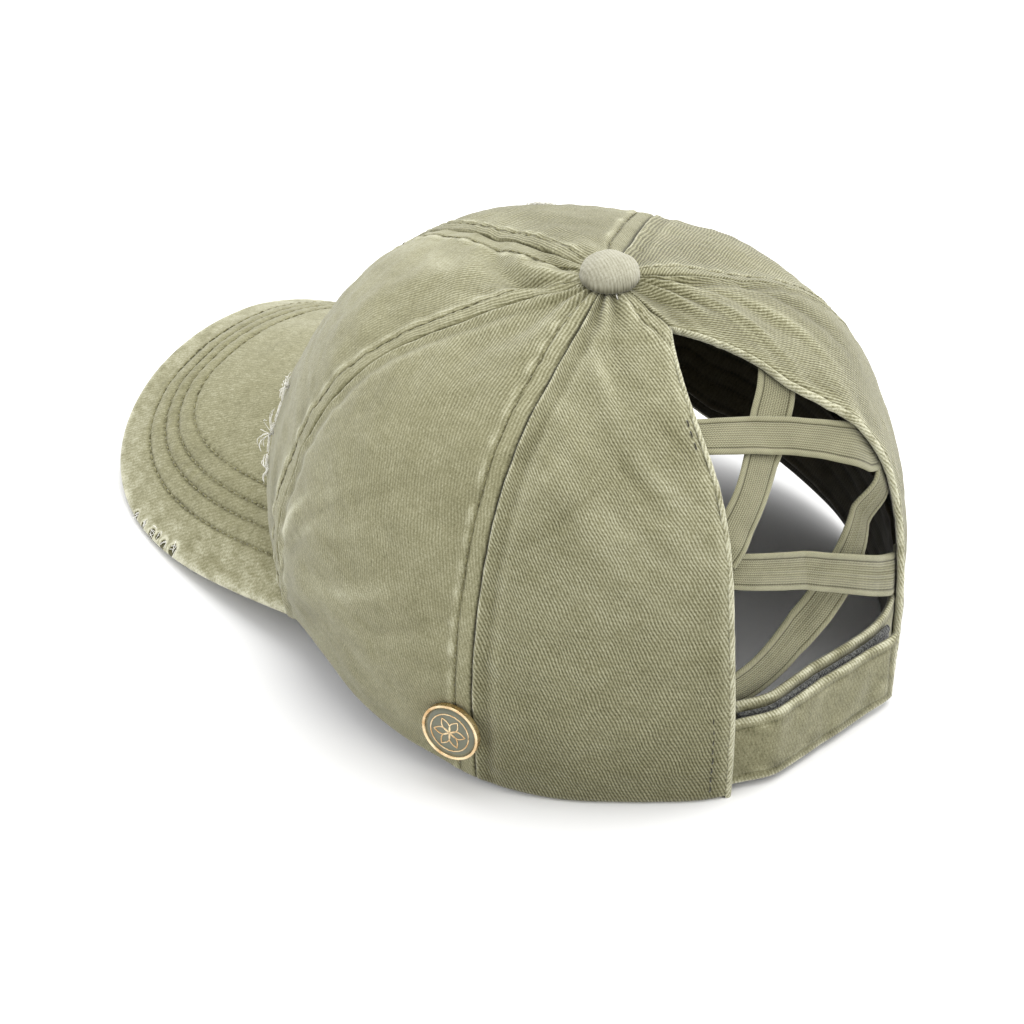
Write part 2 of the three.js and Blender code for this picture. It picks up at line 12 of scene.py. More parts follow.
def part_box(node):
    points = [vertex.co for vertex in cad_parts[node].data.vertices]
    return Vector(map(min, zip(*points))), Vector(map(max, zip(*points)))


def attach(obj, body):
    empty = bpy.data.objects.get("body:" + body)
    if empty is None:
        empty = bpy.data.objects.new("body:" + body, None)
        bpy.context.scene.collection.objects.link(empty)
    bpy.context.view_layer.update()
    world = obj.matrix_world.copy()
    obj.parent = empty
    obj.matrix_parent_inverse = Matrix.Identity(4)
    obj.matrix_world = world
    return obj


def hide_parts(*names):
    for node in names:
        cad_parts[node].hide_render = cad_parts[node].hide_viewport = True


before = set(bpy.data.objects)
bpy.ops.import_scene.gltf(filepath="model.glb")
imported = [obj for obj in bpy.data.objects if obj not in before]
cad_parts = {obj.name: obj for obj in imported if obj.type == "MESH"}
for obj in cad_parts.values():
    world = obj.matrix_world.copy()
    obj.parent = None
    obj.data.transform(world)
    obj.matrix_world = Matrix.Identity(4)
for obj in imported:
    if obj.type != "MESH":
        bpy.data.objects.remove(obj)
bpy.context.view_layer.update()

# Sizes in millimetres. The crown's own coordinates have their origin at the rim's
# middle, with the button's axis CROWN_SETBACK behind it.
MM = 0.001
DEGREE = math.pi / 180
HALF_LENGTH = 193 / 2
HALF_WIDTH = 182 / 2
OPENING_SWELL = 4.0
SWELL_ANGLE = 158.0
SWELL_WIDTH = 13.0
CROWN_HEIGHT = 123.0
CROWN_SETBACK = 9.0
CLOTH_WALL = 1.8
PANEL_PUFF = 1.4
FOLD_DEPTH = 3.0
FRONT_SEAM = 57.0
BACK_SEAM = 110.0
PIECE_GAP = 0.3
RIM_HOLD = 0.08
OPENING_HALF_WIDTH = 33.5
OPENING_TOP_SETBACK = 26.5
OPENING_LEG_HEIGHT = 38.0
OPENING_SPREAD = 8.0
OPENING_PINCH = 1.6
SPREAD_TOP = 0.715
SPREAD_RUN = 0.42
PINCH_RUN = 0.07
RIGHT_RIM_KEEP = 0.6
RIGHT_RIM_RUN = 0.09
HEM_WIDTH = 4.5
HEM_THICKNESS = 2.3
PEAK_REACH = 70.5
PEAK_HALF_WIDTH = 79.8
PEAK_CORNER_SETBACK = 53.0
PEAK_SQUARENESS = 0.64
PEAK_THICKNESS = 2.6
PEAK_SLOPE = 0.27
PEAK_DROOP = 3.0
PEAK_ARCH = 44.5
PEAK_TUCK = 7.0
BAND_HEIGHT = 31.0
BAND_THICKNESS = 1.4
BAND_RIM_MARGIN = 3.0
BAND_GAP = 0.45
BUTTON_RADIUS = 8.6
BUTTON_HEIGHT = 6.8
BUTTON_PIN_RADIUS = 3.0
BADGE_RADIUS = 9.1
BADGE_HEIGHT = 2.2
BADGE_ANGLE = 107.0
BADGE_RISE = 19.2
BADGE_TURN = 106.8
BADGE_TIP = 2.7
ELASTIC_WIDTH = 12.5
ELASTIC_THICKNESS = 1.3
ELASTIC_TUCK = 5.0
ELASTIC_GAP = 0.45
LAYER_RUN = 10.0
TAB_HEIGHT = 24.0
TAB_THICKNESS = 2.0
TAB_FLOOR_GAP = 2.0
TAB_INSET = 2.5
TAB_FLARE = 1.6
TAB_FLARE_RUN = 12.0
TAB_ROOT = 6.0
TAB_DIP_SHARE = 0.5
INNER_TAB_RISE = 3.5
INNER_TAB_INSET = 2.5
HOOK_STRIP_HEIGHT = 22.0
HOOK_STRIP_THICKNESS = 1.2
CLOTH_LENGTH = CROWN_HEIGHT + HALF_LENGTH * 0.6

# Meridian of the crown, in equal steps along the cloth: shares of the rim's distance
# from the button at the front, side and back, then of the height, at the sides too.
MERIDIAN = np.array([
    (1.0, 1.0, 1.0, 0.0, 0.0),
    (1.0, 1.025, 1.0, 0.12, 0.115),
    (0.98, 1.045, 0.995, 0.245, 0.24),
    (0.935, 1.04, 0.985, 0.37, 0.365),
    (0.88, 1.005, 0.965, 0.49, 0.49),
    (0.825, 0.95, 0.93, 0.6, 0.61),
    (0.765, 0.87, 0.87, 0.695, 0.715),
    (0.675, 0.765, 0.77, 0.78, 0.805),
    (0.56, 0.625, 0.625, 0.848, 0.87),
    (0.425, 0.45, 0.465, 0.902, 0.915),
    (0.285, 0.285, 0.3, 0.945, 0.95),
    (0.135, 0.13, 0.135, 0.978, 0.979),
    (0.0, 0.0, 0.0, 1.0, 1.0),
])

# Height of the rim behind the peak's corners: turn towards the back, share of the height.
RIM_RISES = np.array([
    (0.0, 1.0), (0.04, 1.3), (0.09, 1.38), (0.15, 1.22), (0.21, 0.88), (0.28, 0.62),
    (0.36, 0.42), (0.43, 0.18), (0.5, 0.06), (0.58, 0.0), (1.0, 0.0),
])

# Main folds, as in the solids: angle, climb, length, width, lean, depth in FOLD_DEPTHs.
MAIN_FOLDS = [
    (28, 0.84, 0.1, 9, 30, -0.9), (36, 0.62, 0.16, 9, -12, 0.5),
    (78, 0.8, 0.14, 8, 6, -0.5), (96, 0.74, 0.16, 7, -8, 0.4),
    (84, 0.2, 0.13, 8, 10, -0.5), (68, 0.12, 0.1, 5, 4, 0.5),
    (135, 0.66, 0.12, 9, -14, -0.6), (128, 0.3, 0.15, 8, 8, -0.4),
    (222, 0.72, 0.13, 7, 16, -0.6), (208, 0.6, 0.12, 6, 10, 0.5),
    (262, 0.55, 0.2, 10, -8, -0.5), (284, 0.68, 0.2, 24, 0, -1),
    (264, 0.7, 0.12, 13, 0, -0.8), (228, 0.42, 0.09, 12, 0, -0.5),
    (320, 0.5, 0.2, 12, 6, -0.4),
]

# Small creases and ridges on top of those: angle, climb, length, width, lean, depth in mm.
CREASES = [
    (14, 0.93, 0.06, 5, 8, -1.0), (26, 0.9, 0.07, 5, 10, 0.9), (40, 0.9, 0.07, 5, 4, -0.9),
    (48, 0.86, 0.09, 4, -3, 0.6), (66, 0.91, 0.07, 4, 4, 0.6), (74, 0.93, 0.07, 4, 2, -0.8),
    (84, 0.92, 0.07, 4, 0, 0.7), (93, 0.93, 0.06, 4, -3, -0.8), (101, 0.9, 0.08, 4, -3, 0.6),
    (120, 0.93, 0.06, 5, 3, -0.8), (131, 0.91, 0.07, 5, -2, 0.7), (143, 0.94, 0.05, 6, 0, -0.8),
    (158, 0.93, 0.05, 6, 3, 0.6), (200, 0.9, 0.06, 5, -3, -0.7), (212, 0.92, 0.08, 4, 6, 0.8),
    (220, 0.88, 0.1, 4, 10, -0.9), (231, 0.86, 0.1, 4, 4, 0.8), (242, 0.9, 0.08, 5, 2, -0.8),
    (262, 0.92, 0.07, 7, 2, 0.7), (285, 0.92, 0.07, 8, 0, -0.8), (330, 0.92, 0.07, 8, 0, 0.7),
    (112, 0.62, 0.05, 2.5, 4, -0.5), (119, 0.58, 0.07, 2.2, 6, 0.5), (124, 0.52, 0.06, 2.4, 8, -0.5),
    (133, 0.5, 0.09, 3.5, -9, 0.7), (142, 0.6, 0.09, 3.0, -8, -0.7), (149, 0.56, 0.1, 3.0, -6, 0.6),
    (154, 0.66, 0.07, 3.0, -6, -0.6), (130, 0.78, 0.08, 3.2, -7, 0.7), (138, 0.84, 0.07, 4.0, -6, -0.5),
    (70, 0.3, 0.1, 2.6, 9, -0.5), (77, 0.36, 0.1, 2.6, 12, 0.5), (86, 0.28, 0.1, 3.0, 10, 0.5),
    (92, 0.22, 0.08, 3.0, 10, -0.45), (62, 0.24, 0.07, 2.0, 4, 0.7), (66, 0.22, 0.06, 1.8, 4, -0.8),
    (61, 0.12, 0.05, 1.6, 3, 0.6), (59, 0.17, 0.06, 1.6, 3, -0.7), (71, 0.1, 0.05, 2.4, 4, -0.5),
    (214, 0.76, 0.1, 2.8, 12, 0.8), (226, 0.7, 0.11, 2.6, 12, 0.7), (236, 0.66, 0.1, 3.0, 10, -0.7),
    (205, 0.5, 0.1, 2.6, 8, -0.6), (200, 0.44, 0.1, 2.4, 8, 0.6), (214, 0.4, 0.09, 2.6, 6, 0.5),
    (30, 0.74, 0.07, 3.6, 14, 0.6), (38, 0.78, 0.07, 3.6, 14, -0.6), (46, 0.55, 0.1, 2.6, -4, 0.4),
    (50, 0.42, 0.1, 2.4, -3, -0.5), (53, 0.3, 0.08, 1.8, -2, 0.7), (50, 0.22, 0.07, 1.8, -2, -0.7),
    (42, 0.16, 0.07, 2.2, -3, 0.5), (30, 0.1, 0.05, 3.0, 0, -0.4), (340, 0.3, 0.12, 5, 4, 0.5),
]

# Pale worn streaks and patches: angle, climb, length, width, lean, strength.
WEAR_STREAKS = [
    (78, 0.34, 0.06, 2.6, 8, 0.35), (86, 0.27, 0.07, 2.6, 10, 0.4), (93, 0.22, 0.05, 2.4, 8, 0.35),
    (72, 0.36, 0.06, 1.6, 5, 0.3), (69, 0.27, 0.08, 1.1, 6, 0.5), (61, 0.22, 0.09, 0.9, 4, 0.8),
    (63.5, 0.27, 0.08, 0.7, 5, 0.6), (60, 0.1, 0.06, 0.9, 2, 0.6), (57.5, 0.13, 0.05, 0.7, 2, 0.6),
    (147, 0.6, 0.06, 3.5, -8, 0.35), (137, 0.52, 0.06, 3.0, -8, 0.4), (150, 0.5, 0.05, 3, -4, 0.4),
    (133, 0.78, 0.05, 3.0, -6, 0.4), (214, 0.8, 0.08, 1.6, 12, 0.5), (226, 0.7, 0.09, 2.2, 10, 0.4),
    (206, 0.55, 0.1, 2.4, 8, 0.4), (30, 0.92, 0.05, 3.2, 10, 0.4), (46, 0.8, 0.07, 2.5, 6, 0.3),
    (20, 0.7, 0.1, 6, 8, 0.35), (8, 0.6, 0.12, 5, 0, 0.3), (88, 0.86, 0.06, 2.6, 0, 0.3),
    (350, 0.7, 0.12, 6, 0, 0.35), (310, 0.6, 0.12, 8, 0, 0.3), (262, 0.6, 0.12, 8, 0, 0.3),
]

# Elastics: ends as shares of the way up the opening, upward bow, twist and layers.
ELASTICS = [
    ("elastic_upper", 0.79, 0.56, 0.32, 0, 0, 0),
    ("elastic_cross_upper", 0.555, 0.8, 0.0, 0, 0, 1),
    ("elastic_lower", 0.5, 0.245, 0.1, 0, 1, 1),
    ("elastic_cross_lower", 0.2, 0.47, -0.95, 0.3, 4, 4),
]

rng = np.random.default_rng(7)


def smooth_step(value):
    t = np.clip(value, 0, 1)
    return t * t * (3 - 2 * t)


def hermite(a, b, slope_a, slope_b, t):
    bend = 3 * (b - a) - 2 * slope_a - slope_b
    return a + t * slope_a + t**2 * bend + t**3 * (2 * (a - b) + slope_a + slope_b)


def curve_through(values, share):
    """Smooth curve through values in equal steps, at a share of the way from 0 to 1."""
    last = len(values) - 1
    place = np.clip(share, 0, 1) * last
    i = np.minimum(last - 1, np.floor(place).astype(int))
    v = np.concatenate([[2 * values[0] - values[1]], values, [2 * values[-1] - values[-2]]])
    a, b = v[i + 1], v[i + 2]
    return hermite(a, b, (b - v[i]) / 2, (v[i + 3] - a) / 2, place - i)


def rim_share(turn):
    """Smooth curve through RIM_RISES at a turn towards the back."""
    keys, values = RIM_RISES.T
    i = np.clip(np.searchsorted(keys, turn, side="left") - 1, 0, len(keys) - 2)
    slopes = np.zeros(len(keys))
    slopes[1:-1] = (values[2:] - values[:-2]) / (keys[2:] - keys[:-2])
    slopes[:-1][values[1:] == values[:-1]] = 0
    span = keys[i + 1] - keys[i]
    t = (turn - keys[i]) / span
    return hermite(values[i], values[i + 1], slopes[i] * span, slopes[i + 1] * span, t)


def rim_distance(angle):
    """From the button's axis to the rim's outside, at an angle from the front."""
    sine, cosine = np.sin(angle), np.cos(angle)
    turned = np.abs(np.arctan2(sine, cosine)) / DEGREE
    square = (sine / HALF_WIDTH) ** 2 + (cosine / HALF_LENGTH) ** 2
    linear = CROWN_SETBACK * cosine / HALF_LENGTH**2
    inside = 1 - (CROWN_SETBACK / HALF_LENGTH) ** 2
    ellipse = (linear + np.sqrt(linear**2 + square * inside)) / square
    return ellipse + OPENING_SWELL * np.exp(-(((turned - SWELL_ANGLE) / SWELL_WIDTH) ** 2))


def peak_fall(x, y):
    forward = -HALF_LENGTH - y
    arch = PEAK_ARCH * (x / PEAK_HALF_WIDTH) ** 2
    return PEAK_SLOPE * forward + PEAK_DROOP * (forward / PEAK_REACH) ** 2 + arch


def peak_outline(angle):
    sine, cosine = np.sin(angle), np.abs(np.cos(angle))
    depth = PEAK_REACH + PEAK_CORNER_SETBACK
    x = PEAK_HALF_WIDTH * np.sign(sine) * np.abs(sine) ** PEAK_SQUARENESS
    return x, PEAK_CORNER_SETBACK - HALF_LENGTH - depth * cosine**PEAK_SQUARENESS


PEAK_ROOT = peak_fall(*peak_outline(np.arange(91) * DEGREE)).max() + PEAK_THICKNESS
CORNER_ANGLE = math.atan2(PEAK_HALF_WIDTH, HALF_LENGTH - PEAK_CORNER_SETBACK + CROWN_SETBACK)


def peak_top(x, y):
    return PEAK_ROOT - peak_fall(x, y)


def rim_height(angle, depth=0.0):
    """Height of the rim's lower edge, on the peak at the front and on the floor at the back."""
    signed = np.arctan2(np.sin(angle), np.cos(angle))
    turned = np.abs(signed)
    held = np.minimum(turned, CORNER_ANGLE)
    reach = rim_distance(held) - depth
    seat = peak_top(reach * np.sin(held), CROWN_SETBACK - reach * np.cos(held)) + PIECE_GAP
    turn = (turned - held) / (math.pi - CORNER_ANGLE)
    eased = np.where(signed < 0, (1 - RIGHT_RIM_KEEP) * smooth_step(turn / RIGHT_RIM_RUN), 0)
    return seat * rim_share(turn) * (1 - eased)


def meridian_at(angle, climb):
    """Shares of the rim's distance and of the crown's height at a climb."""
    cosine = np.cos(angle)
    front = np.maximum(0, cosine) ** 2
    back = np.maximum(0, -cosine) ** 2
    side = 1 - front - back
    front_reach, side_reach, back_reach, rise, side_rise = (curve_through(part, climb) for part in MERIDIAN.T)
    reach = front * front_reach + side * side_reach + back * back_reach
    return reach, (front + back) * rise + side * side_rise


def streaks(table, angle, climb):
    """Sum of soft streaks from a table of angle, climb, length, width, lean and strength."""
    degrees = (angle / DEGREE) % 360
    total = np.zeros(np.broadcast(angle, climb).shape)
    for middle, place, length, width, lean, strength in table:
        along = (climb - place) / length
        aside = (degrees - middle - lean * along + 180) % 360 - 180
        total += strength * np.exp(-(along**2) - (aside / width) ** 2)
    return total


def cloth_relief(angle, climb):
    """Puff of the panels between their seams, with the main folds."""
    degrees = (angle / DEGREE) % 360
    mirrored = np.where(degrees > 180, 360 - degrees, degrees)
    seams = np.array([0, FRONT_SEAM, BACK_SEAM, 180.0])
    i = np.clip(np.searchsorted(seams, mirrored, side="right") - 1, 0, 2)
    across = np.clip((mirrored - seams[i]) / (seams[i + 1] - seams[i]), 0, 1)
    swell = np.sin(np.pi * across) ** 0.8 - 0.5
    puff = PANEL_PUFF * swell * np.sin(np.pi * np.clip(climb, 0, 1) ** 0.8)
    return puff + FOLD_DEPTH * streaks(MAIN_FOLDS, angle, climb)


def crown_point(angle, climb, depth=0.0, proud=0.0):
    """Points of the crown, some depth inside its outer surface or standing proud of it."""
    angle, climb = np.broadcast_arrays(np.asarray(angle, float), climb)
    distance = rim_distance(angle)
    hole = (BUTTON_PIN_RADIUS + 2 * PIECE_GAP) / distance
    low = rim_height(angle, np.maximum(0, depth))

    def place(share):
        reach, rise = meridian_at(angle, share)
        return distance * (hole + (1 - hole) * reach), low + (CROWN_HEIGHT - low) * rise

    radius, height = place(climb)
    before, under = place(np.maximum(0, climb - 0.01))
    after, over = place(np.minimum(1, climb + 0.01))
    along = np.hypot(after - before, over - under)
    out, up = (over - under) / along, (before - after) / along
    free = smooth_step(climb / RIM_HOLD)
    stand = cloth_relief(angle, climb) * free - depth + proud
    final = radius + stand * out
    sideways = final * np.sin(angle)
    return np.stack([sideways, CROWN_SETBACK - final * np.cos(angle), height + stand * up * free], -1)


def back_angle(aside, climb):
    """Angle of the point that lies some way to one side of the middle of the back."""
    aside, climb = np.broadcast_arrays(np.asarray(aside, float), climb)
    angle = np.full(aside.shape, math.pi)
    for _ in range(6):
        radius = np.maximum(1, rim_distance(angle) * meridian_at(angle, climb)[0])
        angle = math.pi - np.arcsin(np.clip(aside / radius, -1, 1))
    return angle


def signed_back_angle(aside, climb):
    """The same for places on both sides of the middle: the angle is negative on the right."""
    angle = back_angle(np.abs(aside), climb)
    return np.where(aside < 0, -angle, angle)


def climb_at(angle, height):
    """Climb at which the crown's meridian reaches a height, found by halving."""
    low = rim_height(angle)
    near = np.zeros(np.broadcast(angle, height).shape)
    far = near + 1
    for _ in range(30):
        middle = (near + far) / 2
        below = low + (CROWN_HEIGHT - low) * meridian_at(angle, middle)[1] < height
        near, far = np.where(below, middle, near), np.where(below, far, middle)
    return (near + far) / 2


LEG_CLIMB = float(climb_at(math.pi, OPENING_LEG_HEIGHT))
TOP_CLIMB = 1 - OPENING_TOP_SETBACK / CLOTH_LENGTH


def opening_aside(climb, margin, side):
    """Half width of the opening's arch at a climb, grown by a margin. Side is 1 or -1."""
    top = TOP_CLIMB + margin / CLOTH_LENGTH
    t = np.clip((climb - LEG_CLIMB) / (top - LEG_CLIMB), 0, 1)
    arch = (OPENING_HALF_WIDTH + margin) * (1 - t**2.1) ** 0.92
    spread = OPENING_SPREAD * smooth_step((SPREAD_TOP - t) / SPREAD_RUN)
    pinch = OPENING_PINCH * np.exp(-(((t - SPREAD_TOP) / PINCH_RUN) ** 2))
    return arch + np.where((np.asarray(side) < 0) & (t < 1), spread - pinch, 0)


LEFT_EDGE = OPENING_HALF_WIDTH + HEM_WIDTH
RIGHT_EDGE = LEFT_EDGE + OPENING_SPREAD


def bumps(x, y, short, long, count, seed):
    """Smooth random relief about one high, from waves between two lengths."""
    own = np.random.default_rng(seed)
    total = np.zeros(np.broadcast(x, y).shape)
    for _ in range(count):
        turn, phase = own.uniform(0, 2 * math.pi, 2)
        wave = 2 * math.pi / own.uniform(short, long)
        total += np.sin(wave * (x * math.cos(turn) + y * math.sin(turn)) + phase)
    return total * math.sqrt(2 / count)


def ridge(x, middle, width):
    return np.exp(-(((x - middle) / width) ** 2))


def rounded_edge(distance, radius, least=0.0):
    """Share of the full thickness near a round edge, at a distance from it."""
    return np.sqrt(np.clip(1 - np.clip(1 - distance / radius, 0, 1) ** 2, least, 1))


# Where the solids' own origin lies in the frame, found from the button.
low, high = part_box("top_button")
SHIFT = np.array([(low.x + high.x) / 2, (low.y + high.y) / 2 - CROWN_SETBACK * MM, 0.0])


def to_frame(points):
    return np.asarray(points, float) * MM + SHIFT


def build_mesh(name, points, faces, attributes=None):
    """A smooth mesh object from points in millimetres and faces of one number of corners."""
    mesh = bpy.data.meshes.new(name)
    points = to_frame(np.asarray(points).reshape(-1, 3))
    faces = np.asarray(faces, np.int32)
    sides = faces.shape[1]
    mesh.vertices.add(len(points))
    mesh.vertices.foreach_set("co", points.astype(np.float32).ravel())
    mesh.loops.add(faces.size)
    mesh.loops.foreach_set("vertex_index", faces.ravel())
    mesh.polygons.add(len(faces))
    mesh.polygons.foreach_set("loop_start", np.arange(0, faces.size, sides, dtype=np.int32))
    mesh.polygons.foreach_set("use_smooth", np.ones(len(faces), bool))
    for key, values in (attributes or {}).items():
        values = np.asarray(values, np.float32)
        kind = "FLOAT_VECTOR" if values.ndim > 1 else "FLOAT"
        layer = mesh.attributes.new(key, kind, "POINT")
        layer.data.foreach_set("vector" if values.ndim > 1 else "value", values.ravel())
    mesh.update(calc_edges=True)
    mesh.validate()
    made = bpy.data.objects.new(name, mesh)
    bpy.context.scene.collection.objects.link(made)
    return made


def add_piece(made, material, slot, *nodes):
    made.data.materials.append(material)
    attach(made, "root")
    if nodes:
        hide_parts(*nodes)
    return made


def grid_faces(columns, rows, offset=0, flip=False, wrap=False):
    """Quads over a grid of columns times rows of points, numbered row by row in columns."""
    i, j = np.meshgrid(np.arange(columns if wrap else columns - 1), np.arange(rows - 1), indexing="ij")
    a = i * rows + j
    b = (i + 1) % columns * rows + j
    quads = np.stack([a, b, b + 1, a + 1], -1).reshape(-1, 4) + offset
    return quads[:, ::-1] if flip else quads


def shell_faces(columns, rows, flip=False):
    """Faces of a closed shell whose outer grid comes first and inner grid second."""
    count = columns * rows
    outer = grid_faces(columns, rows)
    inner = grid_faces(columns, rows, count, flip=True)
    i, j = np.arange(columns - 1), np.arange(rows - 1)
    first = i * rows
    last = i * rows + rows - 1
    left = j
    right = (columns - 1) * rows + j
    edges = [
        np.stack([first, count + first, count + first + rows, first + rows], -1),
        np.stack([last, last + rows, count + last + rows, count + last], -1),
        np.stack([left, left + 1, count + left + 1, count + left], -1),
        np.stack([right, count + right, count + right + 1, right + 1], -1),
    ]
    faces = np.concatenate([outer, inner, *edges])
    return faces[:, ::-1] if flip else faces


def cloth_place(across, along, patch):
    """Flat cloth coordinates in millimetres. Each patch of cloth has a number of its own."""
    return np.stack([across, along, np.full(across.shape, float(patch))], -1)


def add_shell(name, sheets, looks, material, slot, node_name, flip=False):
    """A closed piece from an outer and an inner grid of points. Looks hold a pair of values for them."""
    grid = sheets[0].shape[:2]

    def run(pair):
        spread = [np.broadcast_to(part, grid + np.shape(part)[2:]) for part in pair]
        return np.concatenate([part.reshape(-1, *part.shape[2:]) for part in spread])

    attributes = {key: run(pair) for key, pair in looks.items()}
    made = build_mesh(name, run(sheets), shell_faces(*grid, flip=flip), attributes)
    return add_piece(made, material, slot, node_name)


# Materials

def node(tree, kind, inputs=None, **settings):
    """A shader node. Inputs are values to set or sockets to link."""
    made = tree.nodes.new(kind)
    for key, value in settings.items():
        setattr(made, key, value)
    for key, value in (inputs or {}).items():
        if isinstance(value, bpy.types.NodeSocket):
            tree.links.new(value, made.inputs[key])
        else:
            made.inputs[key].default_value = value
    return made


def maths(tree, operation, a, b=0.0, c=0.0):
    return node(tree, "ShaderNodeMath", {0: a, 1: b, 2: c}, operation=operation).outputs[0]


def mixed(tree, factor, a, b):
    return node(tree, "ShaderNodeMix", {0: factor, 6: a, 7: b}, data_type="RGBA").outputs[2]


def ranged(tree, value, low, high, to_low=0.0, to_high=1.0):
    inputs = {0: value, 1: low, 2: high, 3: to_low, 4: to_high}
    return node(tree, "ShaderNodeMapRange", inputs, clamp=True).outputs[0]


def noise(tree, vector, scale, detail=2.0, rough=0.5):
    inputs = {"Vector": vector, "Scale": scale, "Detail": detail, "Roughness": rough}
    return node(tree, "ShaderNodeTexNoise", inputs).outputs[0]


def attribute(tree, name, output="Fac"):
    return node(tree, "ShaderNodeAttribute", attribute_name=name).outputs[output]


def wave(tree, place, pitch):
    """A sine along a place in millimetres, with a pitch."""
    return maths(tree, "SINE", maths(tree, "MULTIPLY", place, 2 * math.pi / pitch))


def varied(tree, tone, source, share):
    """A tone with a share of a source's swing about one half added."""
    return maths(tree, "MULTIPLY_ADD", maths(tree, "SUBTRACT", source, 0.5), share, tone)


def linear(*channels):
    """An sRGB colour of 0 to 255 as the linear colour that shaders take."""
    parts = [channel / 255 for channel in channels]
    return (*(c / 12.92 if c <= 0.04045 else ((c + 0.055) / 1.055) ** 2.4 for c in parts), 1.0)


def new_material(name, roughness, sheen=0.0, specular=0.2, metallic=0.0):
    material = bpy.data.materials.new(name)
    material.use_nodes = True
    tree = material.node_tree
    shader = tree.nodes["Principled BSDF"]
    shader.inputs["Roughness"].default_value = roughness
    shader.inputs["Metallic"].default_value = metallic
    shader.inputs["Specular IOR Level"].default_value = specular
    shader.inputs["Sheen Weight"].default_value = sheen
    shader.inputs["Sheen Roughness"].default_value = 0.5
    return material, tree, shader


def bumped(tree, shader, height, distance):
    """Bumps a shader's surface by a height, whose one is a distance in millimetres."""
    made = node(tree, "ShaderNodeBump", {"Height": height, "Distance": distance * MM, "Strength": 1.0})
    tree.links.new(made.outputs[0], shader.inputs["Normal"])


# Weave in millimetres.
RIB_PITCH = 0.95
RIB_LEAN = 23 * DEGREE
YARN_PITCH = 1.5
KNIT_ROW = 0.75


def twill_height(tree, place):
    """Height of twill ribs over cloth coordinates in millimetres."""
    pitch, lean = RIB_PITCH, RIB_LEAN
    parts = node(tree, "ShaderNodeSeparateXYZ", {0: place}).outputs
    wobble = maths(tree, "MULTIPLY", noise(tree, place, 0.1, 2.0), 1.8)
    jitter = maths(tree, "MULTIPLY", noise(tree, place, 1.1, 2.0), 0.3)
    across = maths(tree, "MULTIPLY_ADD", parts[0], math.cos(lean), wobble)
    across = maths(tree, "MULTIPLY_ADD", parts[1], math.sin(lean), across)
    across = maths(tree, "ADD", across, jitter)
    along = maths(tree, "MULTIPLY", parts[0], -math.sin(lean))
    along = maths(tree, "MULTIPLY_ADD", parts[1], math.cos(lean), along)
    rib = maths(tree, "MULTIPLY_ADD", wave(tree, across, pitch), 0.5, 0.5)
    slant = maths(tree, "MULTIPLY", across, 2.4)
    slant = maths(tree, "MULTIPLY_ADD", along, 2 * math.pi / YARN_PITCH, slant)
    yarn = maths(tree, "SINE", maths(tree, "MULTIPLY_ADD", jitter, 3.0, slant))
    return maths(tree, "MULTIPLY_ADD", yarn, 0.13, rib)


def cloth_material(name, *tints, ribs=1.0, bump=0.16):
    """Washed twill. Tints: its base, the deep tone between ribs and of painted shade, worn places and the
    inner side, darkened as painted shade.
    """
    base, deep, worn, inside = (linear(*tint) for tint in tints)
    material, tree, shader = new_material(name, 0.93, sheen=0.25, specular=0.12)
    place = attribute(tree, "cloth", "Vector")
    rib_share = attribute(tree, "ribs")
    wear = attribute(tree, "wear")
    shade = attribute(tree, "shade")
    lining = attribute(tree, "lining")
    height = twill_height(tree, place)
    fuzz = noise(tree, place, 2.3, 3.0, 0.65)
    stretched = node(tree, "ShaderNodeVectorMath", {0: place, 1: (1.0, 0.28, 1.0)}, operation="MULTIPLY")
    grain = noise(tree, stretched.outputs[0], 1.7, 3.0, 0.7)
    wash = noise(tree, place, 0.045, 4.0, 0.6)
    blotch = noise(tree, place, 0.19, 3.0, 0.6)
    clear = maths(tree, "MULTIPLY", ranged(tree, blotch, 0.3, 0.62, 0.7, 1.0), rib_share)
    clear = maths(tree, "MULTIPLY", clear, ribs)
    # Colour: dark between the ribs and lighter on top, partly the weave's own tone and partly painted shade
    # in the rib valleys; patchy from washing
    rib_tone_share = maths(tree, "MULTIPLY", clear, 0.82)
    tone = maths(tree, "MULTIPLY", maths(tree, "SUBTRACT", height, 0.55), rib_tone_share)
    for source, share in ((grain, 1.0), (fuzz, 1.2), (wash, 0.5), (blotch, 0.3)):
        tone = varied(tree, tone, source, share)
    worn_here = maths(tree, "MULTIPLY", wear, ranged(tree, fuzz, 0.3, 0.7, 0.7, 1.3))
    tone = maths(tree, "ADD", tone, worn_here)
    # Painted shade: the shade attribute darkens the colour towards the deep tint.
    tone = maths(tree, "SUBTRACT", tone, shade)
    colour = mixed(tree, ranged(tree, tone, -0.75, 0.0), deep, base)
    colour = mixed(tree, ranged(tree, tone, 0.0, 1.0), colour, worn)
    # Painted shade: the inner side of the cloth takes its much darker inner tint.
    colour = mixed(tree, lining, colour, inside)
    tree.links.new(colour, shader.inputs["Base Color"])
    lift = maths(tree, "MULTIPLY_ADD", height, clear, maths(tree, "MULTIPLY", fuzz, 0.8))
    bumped(tree, shader, lift, bump)
    return material


